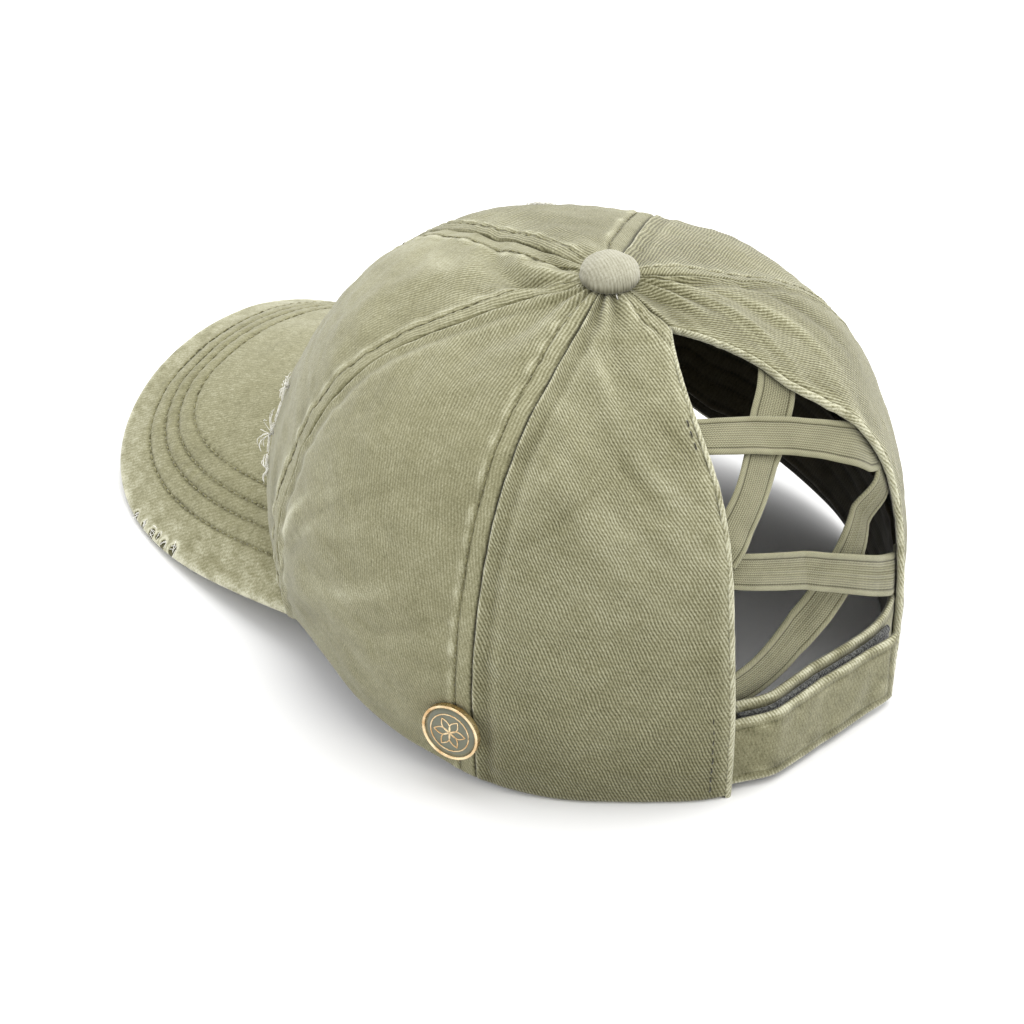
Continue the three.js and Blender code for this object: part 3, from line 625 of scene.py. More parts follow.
def elastic_material(name):
    """Knitted elastic: chevrons in the middle and roped cords along both edges."""
    material, tree, shader = new_material(name, 0.85, sheen=0.2, specular=0.2)
    place = attribute(tree, "cloth", "Vector")
    edge = attribute(tree, "edge")
    shade = attribute(tree, "shade")
    parts = node(tree, "ShaderNodeSeparateXYZ", {0: place}).outputs
    zigzag = maths(tree, "PINGPONG", parts[1], KNIT_ROW)
    chevron = wave(tree, maths(tree, "ADD", parts[0], zigzag), 0.8)
    rows = wave(tree, parts[1], KNIT_ROW)
    middle = maths(tree, "MULTIPLY_ADD", chevron, 0.3, maths(tree, "MULTIPLY", rows, 0.3))
    slant = maths(tree, "MULTIPLY_ADD", parts[1], 0.8, parts[0])
    rope = maths(tree, "MULTIPLY", wave(tree, slant, 0.7), 0.3)
    height = node(tree, "ShaderNodeMix", {0: edge, 2: middle, 3: rope}, data_type="FLOAT").outputs[0]
    fuzz = noise(tree, place, 2.2, 2.0, 0.6)
    wash = noise(tree, place, 0.12, 2.0)
    # Colour follows the knit's relief, paler on the edge cords: partly the knit's own tone, partly painted
    # shade in its hollows.
    tone = maths(tree, "MULTIPLY_ADD", height, 1.0, maths(tree, "MULTIPLY", edge, 0.22))
    tone = varied(tree, tone, fuzz, 0.8)
    tone = varied(tree, tone, wash, 0.5)
    tone = maths(tree, "SUBTRACT", tone, shade)
    colour = mixed(tree, ranged(tree, tone, -0.8, 0.0), linear(66, 63, 40), linear(127, 124, 98))
    colour = mixed(tree, ranged(tree, tone, 0.0, 0.9), colour, linear(164, 162, 130))
    tree.links.new(colour, shader.inputs["Base Color"])
    bumped(tree, shader, height, 0.16)
    return material


def mottled_material(name, roughness, dark, light, tint, span, relief, bump, **looks):
    """Two tones mottled by noise, with a fine relief. Tint and relief start with scales per metre."""
    material, tree, shader = new_material(name, roughness, **looks)
    where = node(tree, "ShaderNodeTexCoord").outputs["Object"]
    mottle = ranged(tree, noise(tree, where, *tint), *span)
    tree.links.new(mixed(tree, mottle, dark, light), shader.inputs["Base Color"])
    bumped(tree, shader, noise(tree, where, *relief), bump)
    return material, tree, shader


def thread_material(name, dark, light, roughness=0.75):
    return mottled_material(name, roughness, linear(*dark), linear(*light), (900.0, 2.0, 0.6), (0.35, 0.65),
                            (5000.0, 1.0), 0.05, sheen=0.3, specular=0.25)[0]


def hook_material(name):
    material, tree, shader = new_material(name, 0.7, sheen=0.3, specular=0.3)
    where = node(tree, "ShaderNodeTexCoord").outputs["Object"]
    tufts = node(tree, "ShaderNodeTexVoronoi", {"Vector": where, "Scale": 1400.0}).outputs[0]
    fuzz = noise(tree, where, 900.0, 3.0, 0.7)
    colour = mixed(tree, ranged(tree, tufts, 0.0, 0.6), linear(78, 80, 78), linear(32, 33, 31))
    colour = mixed(tree, ranged(tree, fuzz, 0.45, 0.7), colour, linear(104, 105, 100))
    tree.links.new(colour, shader.inputs["Base Color"])
    bumped(tree, shader, tufts, 0.5)
    return material


def gold_material(name):
    dark, light = (0.6, 0.38, 0.18, 1), (0.93, 0.77, 0.5, 1)
    material, tree, shader = mottled_material(name, 0.28, dark, light, (260.0, 3.0), (0.35, 0.7),
                                              (1800.0, 2.0), 0.02, metallic=1.0)
    smudge = noise(tree, node(tree, "ShaderNodeTexCoord").outputs["Object"], 700.0, 3.0)
    tree.links.new(ranged(tree, smudge, 0.3, 0.7, 0.2, 0.38), shader.inputs["Roughness"])
    return material


def enamel_material(name):
    dark, light = linear(92, 94, 75), linear(102, 104, 84)
    material, _, shader = mottled_material(name, 0.3, dark, light, (300.0, 3.0), (0.3, 0.7),
                                           (500.0, 2.0), 0.02, specular=0.5)
    shader.inputs["Coat Weight"].default_value = 0.4
    shader.inputs["Coat Roughness"].default_value = 0.15
    return material


# The inner tint of washed_twill is darkened as painted shade for the inside of the crown.
CLOTH = cloth_material("washed_twill", (134, 131, 101), (74, 71, 44), (196, 194, 168), (46, 42, 28))
PEAK_CLOTH = cloth_material("peak_twill", (134, 131, 100), (80, 77, 48), (198, 196, 172), (92, 88, 64),
                            ribs=0.25, bump=0.08)
BUTTON_CLOTH = cloth_material("button_twill", (146, 143, 124), (98, 95, 76), (186, 184, 166), (92, 88, 64),
                              ribs=0.45)
BAND_CLOTH = cloth_material("band_twill", (64, 59, 41), (32, 30, 20), (86, 82, 60), (52, 48, 32), ribs=0.5)
ELASTIC = elastic_material("knitted_elastic")
STITCH = thread_material("stitch_thread", (86, 81, 50), (136, 132, 92))
DARK_STITCH = thread_material("dark_stitch_thread", (30, 28, 18), (66, 62, 42))
WHITE_THREAD = thread_material("frayed_thread", (214, 212, 202), (244, 243, 236), 0.85)
HOOKS = hook_material("hook_and_loop")
GOLD = gold_material("badge_gold")
ENAMEL = enamel_material("badge_enamel")


# Panels

# Distances from a seam in millimetres: columns of points, stitches, fold and dip.
SEAM_OFFSETS = [0, 0.18, 0.4, 0.7, 1.05, 1.45, 1.95, 2.6, 3.4, 4.0, 4.4, 4.7, 5.0, 5.3, 5.6,
                6.0, 6.5, 7.1, 7.8, 8.6, 9.6]
STITCH_OFFSET = 5.0
FOLD_OFFSET = 6.7
DIP_OFFSET = 4.4
# A panel narrower than this many widths of its seam's columns has them squeezed.
LEAST_WIDTH = 2.4
PANEL_MIDDLE_COLUMNS = 44
PANEL_ROWS = 150
HEM_COLUMNS = 421
BAND_COLUMNS = 261
STRIP_COLUMNS = 161
SEAM_GAP = 0.04
BEAD_RADIUS = 1.15
RIM_ROUND = 0.9
# Painted shade: darker towards the rim, more on the back panels, and over the whole of each left panel a
# little and each right panel more.
LOW_SHADE = 0.1
LOW_SHADE_BACK = 0.34
LEFT_SHADE = 0.03
RIGHT_SHADE = 0.2


def column_places(width):
    """Distances from a panel's left edge for its columns, closer set beside both edges."""
    offsets = np.array(SEAM_OFFSETS)
    squeeze = np.minimum(1, width / (LEAST_WIDTH * offsets[-1]))
    near = offsets * squeeze[..., None]
    share = np.linspace(0, 1, PANEL_MIDDLE_COLUMNS + 2)[1:-1]
    start = near[..., -1:]
    middle = start + share * (width[..., None] - 2 * start)
    return np.concatenate([near, middle, width[..., None] - near[..., ::-1]], -1), squeeze


def seam_relief(offset, squeeze, way, seed, stitched):
    """Height, wear and painted shade of the cloth beside a seam, on its stitched or its plain side."""
    x = offset / squeeze
    ripple = bumps(way, way * 0, 4.5, 9.0, 6, seed)
    pull = bumps(way, way * 0, 2.2, 3.4, 6, seed + 50)
    height = -0.9 * ridge(x, 0, 0.38)
    # Painted shade: darker in the seam's groove, in the stitch line's dip and in the plain side's dip.
    shade = 0.6 * ridge(x, 0, 0.3)
    if stitched:
        height += 0.34 * (1 - smooth_step((x - STITCH_OFFSET) / 0.7))
        height += (0.09 * pull) * ridge(x, STITCH_OFFSET, 1.2) - 0.4 * ridge(x, STITCH_OFFSET, 0.42)
        height += 0.42 * ridge(x, FOLD_OFFSET, 1.1) + ripple * 0.14 * ridge(x, FOLD_OFFSET, 2.5)
        wear = 0.42 * ridge(x, FOLD_OFFSET, 0.9) * (0.8 + 0.4 * ripple) + 0.1 * ridge(x, 3.0, 2.0)
        shade += 0.5 * ridge(x, STITCH_OFFSET, 0.4)
    else:
        height += 0.5 * ridge(x, 1.1, 0.8) - 0.5 * ridge(x, DIP_OFFSET, 1.7)
        height += ripple * 0.12 * ridge(x, 4.6, 2.6)
        wear = 0.6 * ridge(x, 0.85, 0.45) * (0.75 + 0.35 * pull) + 0.12 * ridge(x, 7.0, 1.2)
        shade += 0.14 * ridge(x, DIP_OFFSET, 1.5)
    return height * squeeze, wear, shade


def crease_height(angle, climb):
    """Height of the small creases, deeper where the cloth is gathered under the button."""
    return streaks(CREASES, angle, climb) * (1 + 0.25 * smooth_step((climb - 0.8) / 0.1))


def hem_relief(to_edge, climb, mirror):
    """Height, wear and painted shade of a back panel beside the opening, flatter on the left."""
    here = smooth_step((TOP_CLIMB + 0.02 - climb) / 0.02)
    fold = here * (0.4 if mirror > 0 else 1.0)
    height = fold * (0.1 * ridge(to_edge, 2.2, 1.2) - 0.5 * ridge(to_edge, 0, 0.6))
    # Painted shade darkens the groove at the opening's edge.
    return height, 0.25 * here * ridge(to_edge, 1.6, 1.4), 0.35 * fold * ridge(to_edge, 0, 0.5)


def make_panel(name, start, end, mirror, ribs, seed):
    """A fine panel between two angles in degrees, the second one at the back."""
    climb = np.linspace(0, 1, PANEL_ROWS)
    start, end = start * DEGREE, end * DEGREE
    centre = (start + end) / 2
    radius = rim_distance(centre) * meridian_at(centre, climb)[0] + BUTTON_PIN_RADIUS
    to_opening = end >= math.pi - 1e-9
    stop = end
    if to_opening:
        stop = np.minimum(back_angle(opening_aside(climb, BEAD_RADIUS + 0.25, mirror), climb), end)
    width = (stop - start) * radius - SEAM_GAP
    places, squeeze = column_places(width)
    angle = start + (SEAM_GAP / 2 + places) / radius[:, None]
    rows_climb = np.broadcast_to(climb[:, None], angle.shape)
    way = rows_climb * CLOTH_LENGTH
    side = squeeze[:, None] * np.ones_like(angle)
    to_end = (end - angle) * radius[:, None]
    first = seam_relief(places, side, way, seed, start == 0)
    last = seam_relief(to_end, side, way, seed + 1, not (to_opening and mirror < 0))
    looks = [one + other for one, other in zip(first, last)]
    if to_opening:
        beside = hem_relief(width[:, None] - places, rows_climb, mirror)
        looks = [one + other for one, other in zip(looks, beside)]
    height, wear, shade = looks
    signed = mirror * angle
    creases = crease_height(signed, rows_climb)
    grain = (angle - centre) * radius[:, None] * mirror
    soft = 0.16 * bumps(grain, way, 12, 34, 14, seed + 3)
    soft += 0.06 * bumps(grain, way, 4, 9, 16, seed + 4)
    free = smooth_step(rows_climb / 0.05) * smooth_step((1 - rows_climb) / 0.03)
    height = (height + creases + soft) * (0.25 + 0.75 * free)
    wear = wear + 0.6 * streaks(WEAR_STREAKS, signed, rows_climb) + 0.22 * np.clip(creases, 0, 1)
    wear = wear + 0.3 * ridge(way, 0, 1.0)
    # Painted shade: darker towards the rim, most on the back panels, darker over the whole right panels, and
    # darker in the creases' hollows.
    low_shade = LOW_SHADE_BACK if to_opening else LOW_SHADE
    shade = shade + (RIGHT_SHADE if mirror < 0 else LEFT_SHADE)
    shade = shade + 0.3 * np.clip(-creases, 0, 1.2) + low_shade * (1 - smooth_step(rows_climb / 0.42))
    round_in = RIM_ROUND * (1 - rounded_edge(way, RIM_ROUND))
    outside = crown_point(signed, rows_climb, 0.0, height - round_in)
    inside = crown_point(signed, rows_climb, CLOTH_WALL, np.minimum(height, 0.3) * 0.5)
    low_ribs = ribs + 0.8 * (1 - ribs) * smooth_step((rows_climb - 0.55) / 0.3)
    flat = cloth_place(grain.T, way.T, seed * 10)
    looks = {"cloth": (flat, flat), "wear": (wear.T, 0.0), "shade": (shade.T, 0.0),
             "ribs": (low_ribs.T, 0.6), "lining": (0.0, 1.0)}
    sheets = [sheet.swapaxes(0, 1) for sheet in (outside, inside)]
    return add_shell(name, sheets, looks, CLOTH, "cloth", name[:-5], flip=mirror < 0)


def make_panels():
    spans = [("front", 0, FRONT_SEAM, 0.3), ("side", FRONT_SEAM, BACK_SEAM, 0.4),
             ("back", BACK_SEAM, 180, 1.0)]
    for number, (part, start, end, ribs) in enumerate(spans):
        make_panel(f"panel_{part}_left_fine", start, end, 1, ribs, 10 + number)
        make_panel(f"panel_{part}_right_fine", start, end, -1, min(1, ribs + 0.4), 20 + number)


def tube_points(paths, ups, radii, sides=6):
    """Rings of points round many short paths of equal step count, closed to points at both ends."""
    along = np.gradient(paths, axis=1)
    along /= np.linalg.norm(along, axis=-1, keepdims=True) + 1e-9
    across = np.cross(along, ups)
    across /= np.linalg.norm(across, axis=-1, keepdims=True) + 1e-9
    lift = np.cross(across, along)
    turn = np.arange(sides) * 2 * math.pi / sides
    ring = np.cos(turn)[:, None] * across[:, :, None] + np.sin(turn)[:, None] * lift[:, :, None]
    return paths[:, :, None] + ring * radii[..., None, None]


def make_threads(name, paths, ups, radii, material, slot, sides=6):
    """Many short threads joined in one mesh. Paths, ups and radii hold one row for each thread."""
    rings = tube_points(paths, ups, radii, sides)
    count, steps = paths.shape[:2]
    block = steps * sides
    i, j = np.meshgrid(np.arange(steps - 1), np.arange(sides), indexing="ij")
    a = i * sides + j
    b = i * sides + (j + 1) % sides
    quads = np.stack([a, b, b + sides, a + sides], -1).reshape(-1, 4)
    first = np.array([[k, sides - 1 - k, sides - 2 - k, k + 1] for k in range(sides // 2 - 1)])
    last = first[:, ::-1] + (steps - 1) * sides
    pattern = np.concatenate([quads, first, last])
    faces = (pattern + (np.arange(count) * block)[:, None, None]).reshape(-1, 4)
    return add_piece(build_mesh(name, rings, faces), material, slot)


def stitches_along(path, normals, length, gap, sink, wander=0.0, seed=1):
    """Splits a stitched line in short threads. Returns their paths and upward directions."""
    own = np.random.default_rng(seed)
    steps = np.linalg.norm(np.diff(path, axis=0), axis=1)
    way = np.concatenate([[0], np.cumsum(steps)])
    starts = np.arange(gap, way[-1] - length, length + gap)
    starts = starts + own.uniform(-0.15, 0.15, len(starts)) * gap
    share = np.linspace(0, 1, 5)
    at = starts[:, None] + share * length

    def pick(values):
        return np.stack([np.interp(at, way, part) for part in values.T], -1)

    ups = pick(normals)
    ups /= np.linalg.norm(ups, axis=-1, keepdims=True)
    lift = sink * (2 * np.sin(np.pi * share) - 1.0)
    paths = pick(path) + ups * lift[None, :, None]
    along = paths[:, -1] - paths[:, 0]
    side = np.cross(along, ups[:, 2])
    side /= np.linalg.norm(side, axis=-1, keepdims=True) + 1e-9
    paths += side[:, None] * (own.normal(0, wander, (len(starts), 1, 1)))
    return paths, ups


def make_stitches(name, lines, spacing, radius, material, slot):
    """Stitched lines in one mesh. A line has its points, outward directions and seed."""
    sewn = [stitches_along(path, out, *spacing, seed) for path, out, seed in lines]
    paths, ups = (np.concatenate(part) for part in zip(*sewn))
    return make_threads(name, paths, ups, np.full(paths.shape[:2], radius), material, slot)


def crown_line(angles, climbs, proud):
    """Points and outward directions along a line on the crown, angles in radians."""
    here = crown_point(angles, climbs, 0.0, proud)
    out = crown_point(angles, climbs, 0.0, proud + 1.0) - here
    return here, out / np.linalg.norm(out, axis=-1, keepdims=True)


# Spacing of stitches: length, gap, sink into the cloth and sideways wander.
SEAM_SPACING = (2.5, 0.9, 0.16, 0.05)
PEAK_SPACING = (2.3, 0.8, 0.17, 0.07)
EDGE_SPACING = (1.9, 1.7, 0.14, 0.12)
SEAM_THREAD = 0.17
PEAK_THREAD = 0.26
EDGE_THREAD = 0.22
SEAM_TOP = 0.955


def make_seam_stitches():
    """Topstitching beside each seam of the crown, on both sides of the front one."""
    rows = [(0, 1, 0.02), (0, -1, 0.02), (FRONT_SEAM, -1, 0.02), (BACK_SEAM, -1, 0.02),
            (180, -1, TOP_CLIMB + 0.01), (-FRONT_SEAM, 1, 0.02), (-BACK_SEAM, 1, 0.02)]
    lines = []
    for number, (seam, side, bottom) in enumerate(rows):
        climb = np.linspace(bottom, SEAM_TOP, 400)
        middle = seam * DEGREE
        radius = rim_distance(middle) * meridian_at(middle, climb)[0] + BUTTON_PIN_RADIUS
        squeeze = np.minimum(1, radius * 50 * DEGREE / (LEAST_WIDTH * SEAM_OFFSETS[-1]))
        angle = middle + side * STITCH_OFFSET * squeeze / radius
        proud = 0.06 * squeeze + crease_height(angle, climb)
        lines.append((*crown_line(angle, climb, proud), number * 2 + 5))
    make_stitches("seam_stitches", lines, SEAM_SPACING, SEAM_THREAD, STITCH, "cloth")


make_panels()
make_seam_stitches()


# Peak

STITCH_ROWS = [10.3, 15.3, 19.6, 24.7]
PEAK_EDGE_STEPS = [0, 0.35, 0.8, 1.3, 2.0, 2.8]
PEAK_COLUMNS = 401
PEAK_FAR_ROWS = 23
PEAK_NEAR_ROWS = 47


def peak_grid():
    """Places of the peak's points in plan, from its root to its outline, closer set beside that."""
    along = np.linspace(-1, 1, PEAK_COLUMNS)
    root = along * CORNER_ANGLE
    reach = rim_distance(root) - PEAK_TUCK
    start = np.stack([reach * np.sin(root), CROWN_SETBACK - reach * np.cos(root)], -1)
    end = np.stack(peak_outline(along * math.pi / 2), -1)
    length = np.linalg.norm(end - start, axis=1)[:, None]
    near = np.array(PEAK_EDGE_STEPS + list(np.arange(3.5, 32.2, 0.7)))[:PEAK_NEAR_ROWS][::-1]
    depth = np.minimum(near, length * np.linspace(0.5, 0, PEAK_NEAR_ROWS))
    inner = np.linspace(0, 1, PEAK_FAR_ROWS + 1)[:-1] * (1 - depth[:, :1] / length)
    across = np.concatenate([inner, 1 - depth / length], 1)
    return start[:, None] + across[..., None] * (end - start)[:, None]


def outline_line():
    angle = np.linspace(-math.pi / 2, math.pi / 2, 1601)
    return np.stack(peak_outline(angle), -1)


def inward_ways(line):
    """Directions in plan that point inwards from each point of the outline."""
    along = np.gradient(line, axis=0)
    along /= np.linalg.norm(along, axis=1, keepdims=True) + 1e-9
    return np.stack([-along[:, 1], along[:, 0]], -1)


def edge_distance(plan):
    """Distance in plan from points to the peak's outline."""
    line = outline_line()
    tree = KDTree(len(line))
    for k, (x, y) in enumerate(line):
        tree.insert((x, y, 0), k)
    tree.balance()
    flat = plan.reshape(-1, 2)
    found = np.array([tree.find((x, y, 0))[2] for x, y in flat])
    return found.reshape(plan.shape[:-1])


def peak_normals(x, y):
    step = 0.5
    slope_x = (peak_top(x + step, y) - peak_top(x - step, y)) / (2 * step)
    slope_y = (peak_top(x, y + step) - peak_top(x, y - step)) / (2 * step)
    normal = np.stack([-slope_x, -slope_y, np.ones_like(slope_x)], -1)
    return normal / np.linalg.norm(normal, axis=-1, keepdims=True)


# Worn-through spots along the peak's left edge: place along Y, inset, radius.
PEAK_HOLES = [(-127.0, 0.7, 0.9), (-121.6, 0.9, 0.8), (-116.0, 0.8, 1.2),
              (-112.6, 1.6, 0.7), (-108.6, 1.0, 1.0), (-103.4, 1.2, 1.3)]


def hole_places():
    """Middles in plan and radii of the worn-through spots."""
    line = outline_line()
    line = line[line[:, 0] > 0]
    inward = inward_ways(line)
    found = []
    for y, inset, radius in PEAK_HOLES:
        i = np.abs(line[:, 1] - y).argmin()
        found.append((line[i] + inset * inward[i], radius))
    return found


def peak_relief(plan, distance, under):
    """Height and wear of the peak's cloth with its rows of stitching."""
    x, y = plan[..., 0], plan[..., 1]
    groove = sum(ridge(distance, row, 0.5) for row in STITCH_ROWS)
    pillow = sum(ridge(distance, (a + b) / 2, (b - a) / 3) for a, b in zip(STITCH_ROWS, STITCH_ROWS[1:]))
    pucker = bumps(x, y, 3.0, 6.0, 14, 31) * ridge(distance, 17.5, 9)
    height = -0.4 * groove + 0.22 * pillow + 0.07 * pucker + 0.1 * bumps(x, y, 14, 40, 12, 33)
    rough = bumps(x, y, 3, 11, 12, 35 + under)
    wear = 0.85 * ridge(distance, 0, 1.5) * (0.8 + 0.3 * rough)
    wear += 0.14 * ridge(distance, 5, 5) * (1 + 0.6 * rough)
    # Painted shade in the stitch grooves, with a wide darker band across the stitched rows.
    shade = 0.42 * groove + 0.12 * ridge(distance, 18, 7)
    if not under:
        for middle, radius in hole_places():
            away = np.hypot(x - middle[0], y - middle[1]) / radius
            inside = np.exp(-(away**4))
            height -= 0.9 * inside
            shade += 3.0 * inside
            wear += 0.9 * ridge(away, 1.55, 0.4) - 1.5 * inside
    return height, wear, shade


def make_peak():
    plan = peak_grid()
    distance = edge_distance(plan)
    x, y = plan[..., 0], plan[..., 1]
    normal = peak_normals(x, y)
    half = PEAK_THICKNESS / 2
    middle = np.stack([x, y, peak_top(x, y) - half], -1)
    rounded = half * rounded_edge(distance, half)
    fade = smooth_step(distance / 2.0)
    sheets, wears, shades = [], [], []
    for sign, under in ((1, 0), (-1, 1)):
        height, wear, shade = peak_relief(plan, distance, under)
        sheets.append(middle + normal * (sign * (rounded + height * fade))[..., None])
        wears.append(wear)
        shades.append(shade)
    flat = cloth_place(-x, -y, 5)
    looks = {"cloth": (flat, flat + np.array([40.0, 0, 3])), "wear": wears, "shade": shades,
             "ribs": (0.9, 0.8), "lining": (0.0, 0.0)}
    return add_shell("peak_fine", sheets, looks, PEAK_CLOTH, "peak_cloth", "peak")


def offset_outline(distance):
    """The peak's outline moved inwards by a distance, kept clear of the crown's rim."""
    line = outline_line()
    moved = line + distance * inward_ways(line)
    angle = np.arctan2(moved[:, 0], CROWN_SETBACK - moved[:, 1])
    outside = np.hypot(moved[:, 0], CROWN_SETBACK - moved[:, 1]) > rim_distance(angle) + 0.5
    return moved[outside]


def make_peak_stitches():
    lines = []
    for number, row in enumerate(STITCH_ROWS):
        x, y = offset_outline(row).T
        normal = peak_normals(x, y)
        centre = np.stack([x, y, peak_top(x, y) - PEAK_THICKNESS / 2], -1)
        for sign in (1, -1):
            path = centre + normal * sign * (PEAK_THICKNESS / 2 - 0.2)
            lines.append((path, normal * sign, 40 + number * 2 + sign))
    make_stitches("peak_stitches", lines, PEAK_SPACING, PEAK_THREAD, STITCH, "peak_cloth")


make_peak()
make_peak_stitches()


# Opening hem

BEAD_SIDES = 13


def hem_place(share):
    """Climb at the opening's free edge, from the rim (0) to the arch's top (1)."""
    leg = 0.25
    swing = (np.clip(share, leg, 1) - leg) / (1 - leg) * math.pi / 2
    arch = LEG_CLIMB + (TOP_CLIMB - LEG_CLIMB) * np.sin(swing)
    return np.where(share < leg, LEG_CLIMB * share / leg, arch)


def make_hem():
    """The rolled edge of the opening with its folded-in tail, round from left to right."""
    along = np.linspace(0, 1, HEM_COLUMNS)[:, None]
    share = 1 - np.abs(2 * along - 1)
    bead = [(BEAD_RADIUS + BEAD_RADIUS * math.cos(t), CLOTH_WALL / 2 - BEAD_RADIUS * math.sin(t))
            for t in np.linspace(0.25 * math.pi, 1.75 * math.pi, BEAD_SIDES)]
    tail = [(2.4, CLOTH_WALL + 0.1), (HEM_WIDTH, CLOTH_WALL + 0.1), (HEM_WIDTH, CLOTH_WALL + 0.5),
            (BEAD_RADIUS, CLOTH_WALL + 0.55)]
    margin, depth = np.array(bead + tail).T
    count = len(margin)
    base = hem_place(share)
    top = TOP_CLIMB + margin / CLOTH_LENGTH
    stretched = LEG_CLIMB + (base - LEG_CLIMB) * (top - LEG_CLIMB) / (TOP_CLIMB - LEG_CLIMB)
    climb = np.where(base > LEG_CLIMB, stretched, base)
    side = np.where(along < 0.5, 1, -1)
    signed = side * back_angle(opening_aside(climb, margin, side), climb)
    way = np.abs(2 * along - 1) * CLOTH_LENGTH + 0 * margin
    proud = (np.arange(count) < BEAD_SIDES) * 1.0
    points = crown_point(signed, climb, depth, 0.07 * bumps(way, way * 0, 2.5, 7, 8, 61) * proud)
    around = np.concatenate([[0], np.cumsum(np.hypot(np.diff(margin), np.diff(depth)))])
    flat = cloth_place(np.broadcast_to(around, way.shape), way, 77)
    i = np.arange(HEM_COLUMNS - 1) * count
    join = np.stack([i + count - 1, i + 2 * count - 1, i + count, i], -1)
    caps = end_caps(count, (HEM_COLUMNS - 1) * count)
    faces = np.concatenate([grid_faces(HEM_COLUMNS, count), join, caps])
    rough = bumps(way, way * 0, 3, 14, 8, 63)
    attributes = {
        "cloth": flat.reshape(-1, 3),
        "wear": (proud * (0.55 + 0.12 * rough)).ravel(),
        "shade": np.zeros(way.size),
        "ribs": np.ones(way.size),
        # Painted shade: the hem's folded-in tail takes the dark inner tint.
        "lining": np.broadcast_to(1 - proud, way.shape).ravel(),
    }
    return add_piece(build_mesh("opening_hem_fine", points, faces, attributes), CLOTH, "trim", "opening_hem")


def end_caps(count, last):
    """Quads that close both ends of a tube, but for a last triangle where the count is odd."""
    low = np.arange((count - 2) // 2)
    high = count - 1 - low
    quads = np.stack([low, low + 1, high - 1, high], -1)
    return np.concatenate([quads[:, ::-1], quads + last])


make_hem()


# Sweatband

BAND_STITCH_ROWS = (2.5, 9, 15, 21, 25.5)


def make_sweatband():
    """The band inside the rim, quilted by its rows of stitching."""
    left_end = float(back_angle(LEFT_EDGE + TAB_ROOT + 2 * PIECE_GAP, 0.0))
    right_end = float(back_angle(RIGHT_EDGE + TAB_ROOT + 2 * PIECE_GAP, 0.0))
    outer = CLOTH_WALL + BAND_GAP
    angles = np.linspace(-right_end, left_end, BAND_COLUMNS)
    angle, up = np.meshgrid(angles, np.linspace(0, 1, 25), indexing="ij")
    tall = up * (BAND_HEIGHT - BAND_RIM_MARGIN)
    climb = climb_at(angle, rim_height(angle) + BAND_RIM_MARGIN + tall)
    way = angle * 85
    rows = sum(ridge(tall, row, 0.7) for row in BAND_STITCH_ROWS)
    quilt = -0.3 * rows + 0.12 * bumps(way, tall, 5, 18, 12, 71)
    outside = crown_point(angle, climb, outer)
    inside = crown_point(angle, climb, outer + BAND_THICKNESS + 0.9 * quilt)
    flat = cloth_place(way, tall, 90)
    # Painted shade darkens the stitched rows on the band's inner face.
    looks = {"cloth": (flat, flat), "wear": (0.0, 0.2 * ridge(tall, 28, 1.2)), "shade": (0.0, 0.4 * rows),
             "ribs": (0.5, 0.5), "lining": (0.0, 0.0)}
    return add_shell("sweatband_fine", (outside, inside), looks, BAND_CLOTH, "sweatband", "sweatband")


make_sweatband()


# Button

POLE_RADIUS = 0.01
TURNED_SIDES = 96


def make_button():
    """A cloth-covered button: a low dome whose cloth is gathered under its edge."""
    radius, height = BUTTON_RADIUS, BUTTON_HEIGHT
    skirt = -height * 0.25
    profile = [
        (POLE_RADIUS, -CLOTH_WALL - PIECE_GAP), (BUTTON_PIN_RADIUS, -CLOTH_WALL - PIECE_GAP),
        (BUTTON_PIN_RADIUS, PIECE_GAP + 0.5), (radius * 0.8, skirt + 1.3), (radius * 0.93, skirt + 1.2),
        (radius * 1.0, skirt + 2.0), (radius * 1.01, skirt + 3.1), (radius * 0.985, skirt + 4.3),
        (radius * 0.93, skirt + 5.4), (radius * 0.84, skirt + 6.4), (radius * 0.72, skirt + 7.2),
        (radius * 0.56, skirt + 7.8), (radius * 0.38, skirt + 8.2), (radius * 0.19, skirt + 8.42),
        (POLE_RADIUS, skirt + 8.5),
    ]
    last = len(profile) - 1
    rows = np.linspace(0, last, 57)
    reach, rise = (
        np.where(rows > 3.5, curve_through(part, rows / last), np.interp(rows, range(last + 1), part))
        for part in np.array(profile).T
    )
    reach = np.maximum(POLE_RADIUS, reach)
    turn = np.arange(TURNED_SIDES) * 2 * math.pi / TURNED_SIDES
    turns, ring = np.meshgrid(turn, reach, indexing="ij")
    level = np.broadcast_to(rise, turns.shape)
    gather = 0.12 * np.sin(turns * 23 + 2 * np.sin(turns * 3)) * ridge(level, skirt + 2.0, 1.1)
    dent = 0.1 * bumps(ring * np.cos(turns), ring * np.sin(turns), 5, 12, 10, 81) * smooth_step(level / 3)
    grown = ring + gather * (ring > 4)
    x = grown * np.sin(turns)
    y = CROWN_SETBACK - grown * np.cos(turns)
    z = CROWN_HEIGHT + level + dent
    flat = cloth_place(x, -y, 101).reshape(-1, 3)
    # Painted shade: the dome's lower part, where its cloth is gathered under the edge, is darker.
    low = smooth_step((skirt + 4.2 - level) / 2.5).ravel()
    attributes = {
        "cloth": flat,
        "wear": (0.2 * smooth_step(level / 5)).ravel(),
        "shade": 0.75 * low,
        "ribs": np.ones(len(flat)),
        "lining": np.zeros(len(flat)),
    }
    faces = grid_faces(len(turn), len(rows), wrap=True)
    made = build_mesh("top_button_fine", np.stack([x, y, z], -1), faces, attributes)
    close_poles(made)
    return add_piece(made, BUTTON_CLOTH, "button_cloth", "top_button")


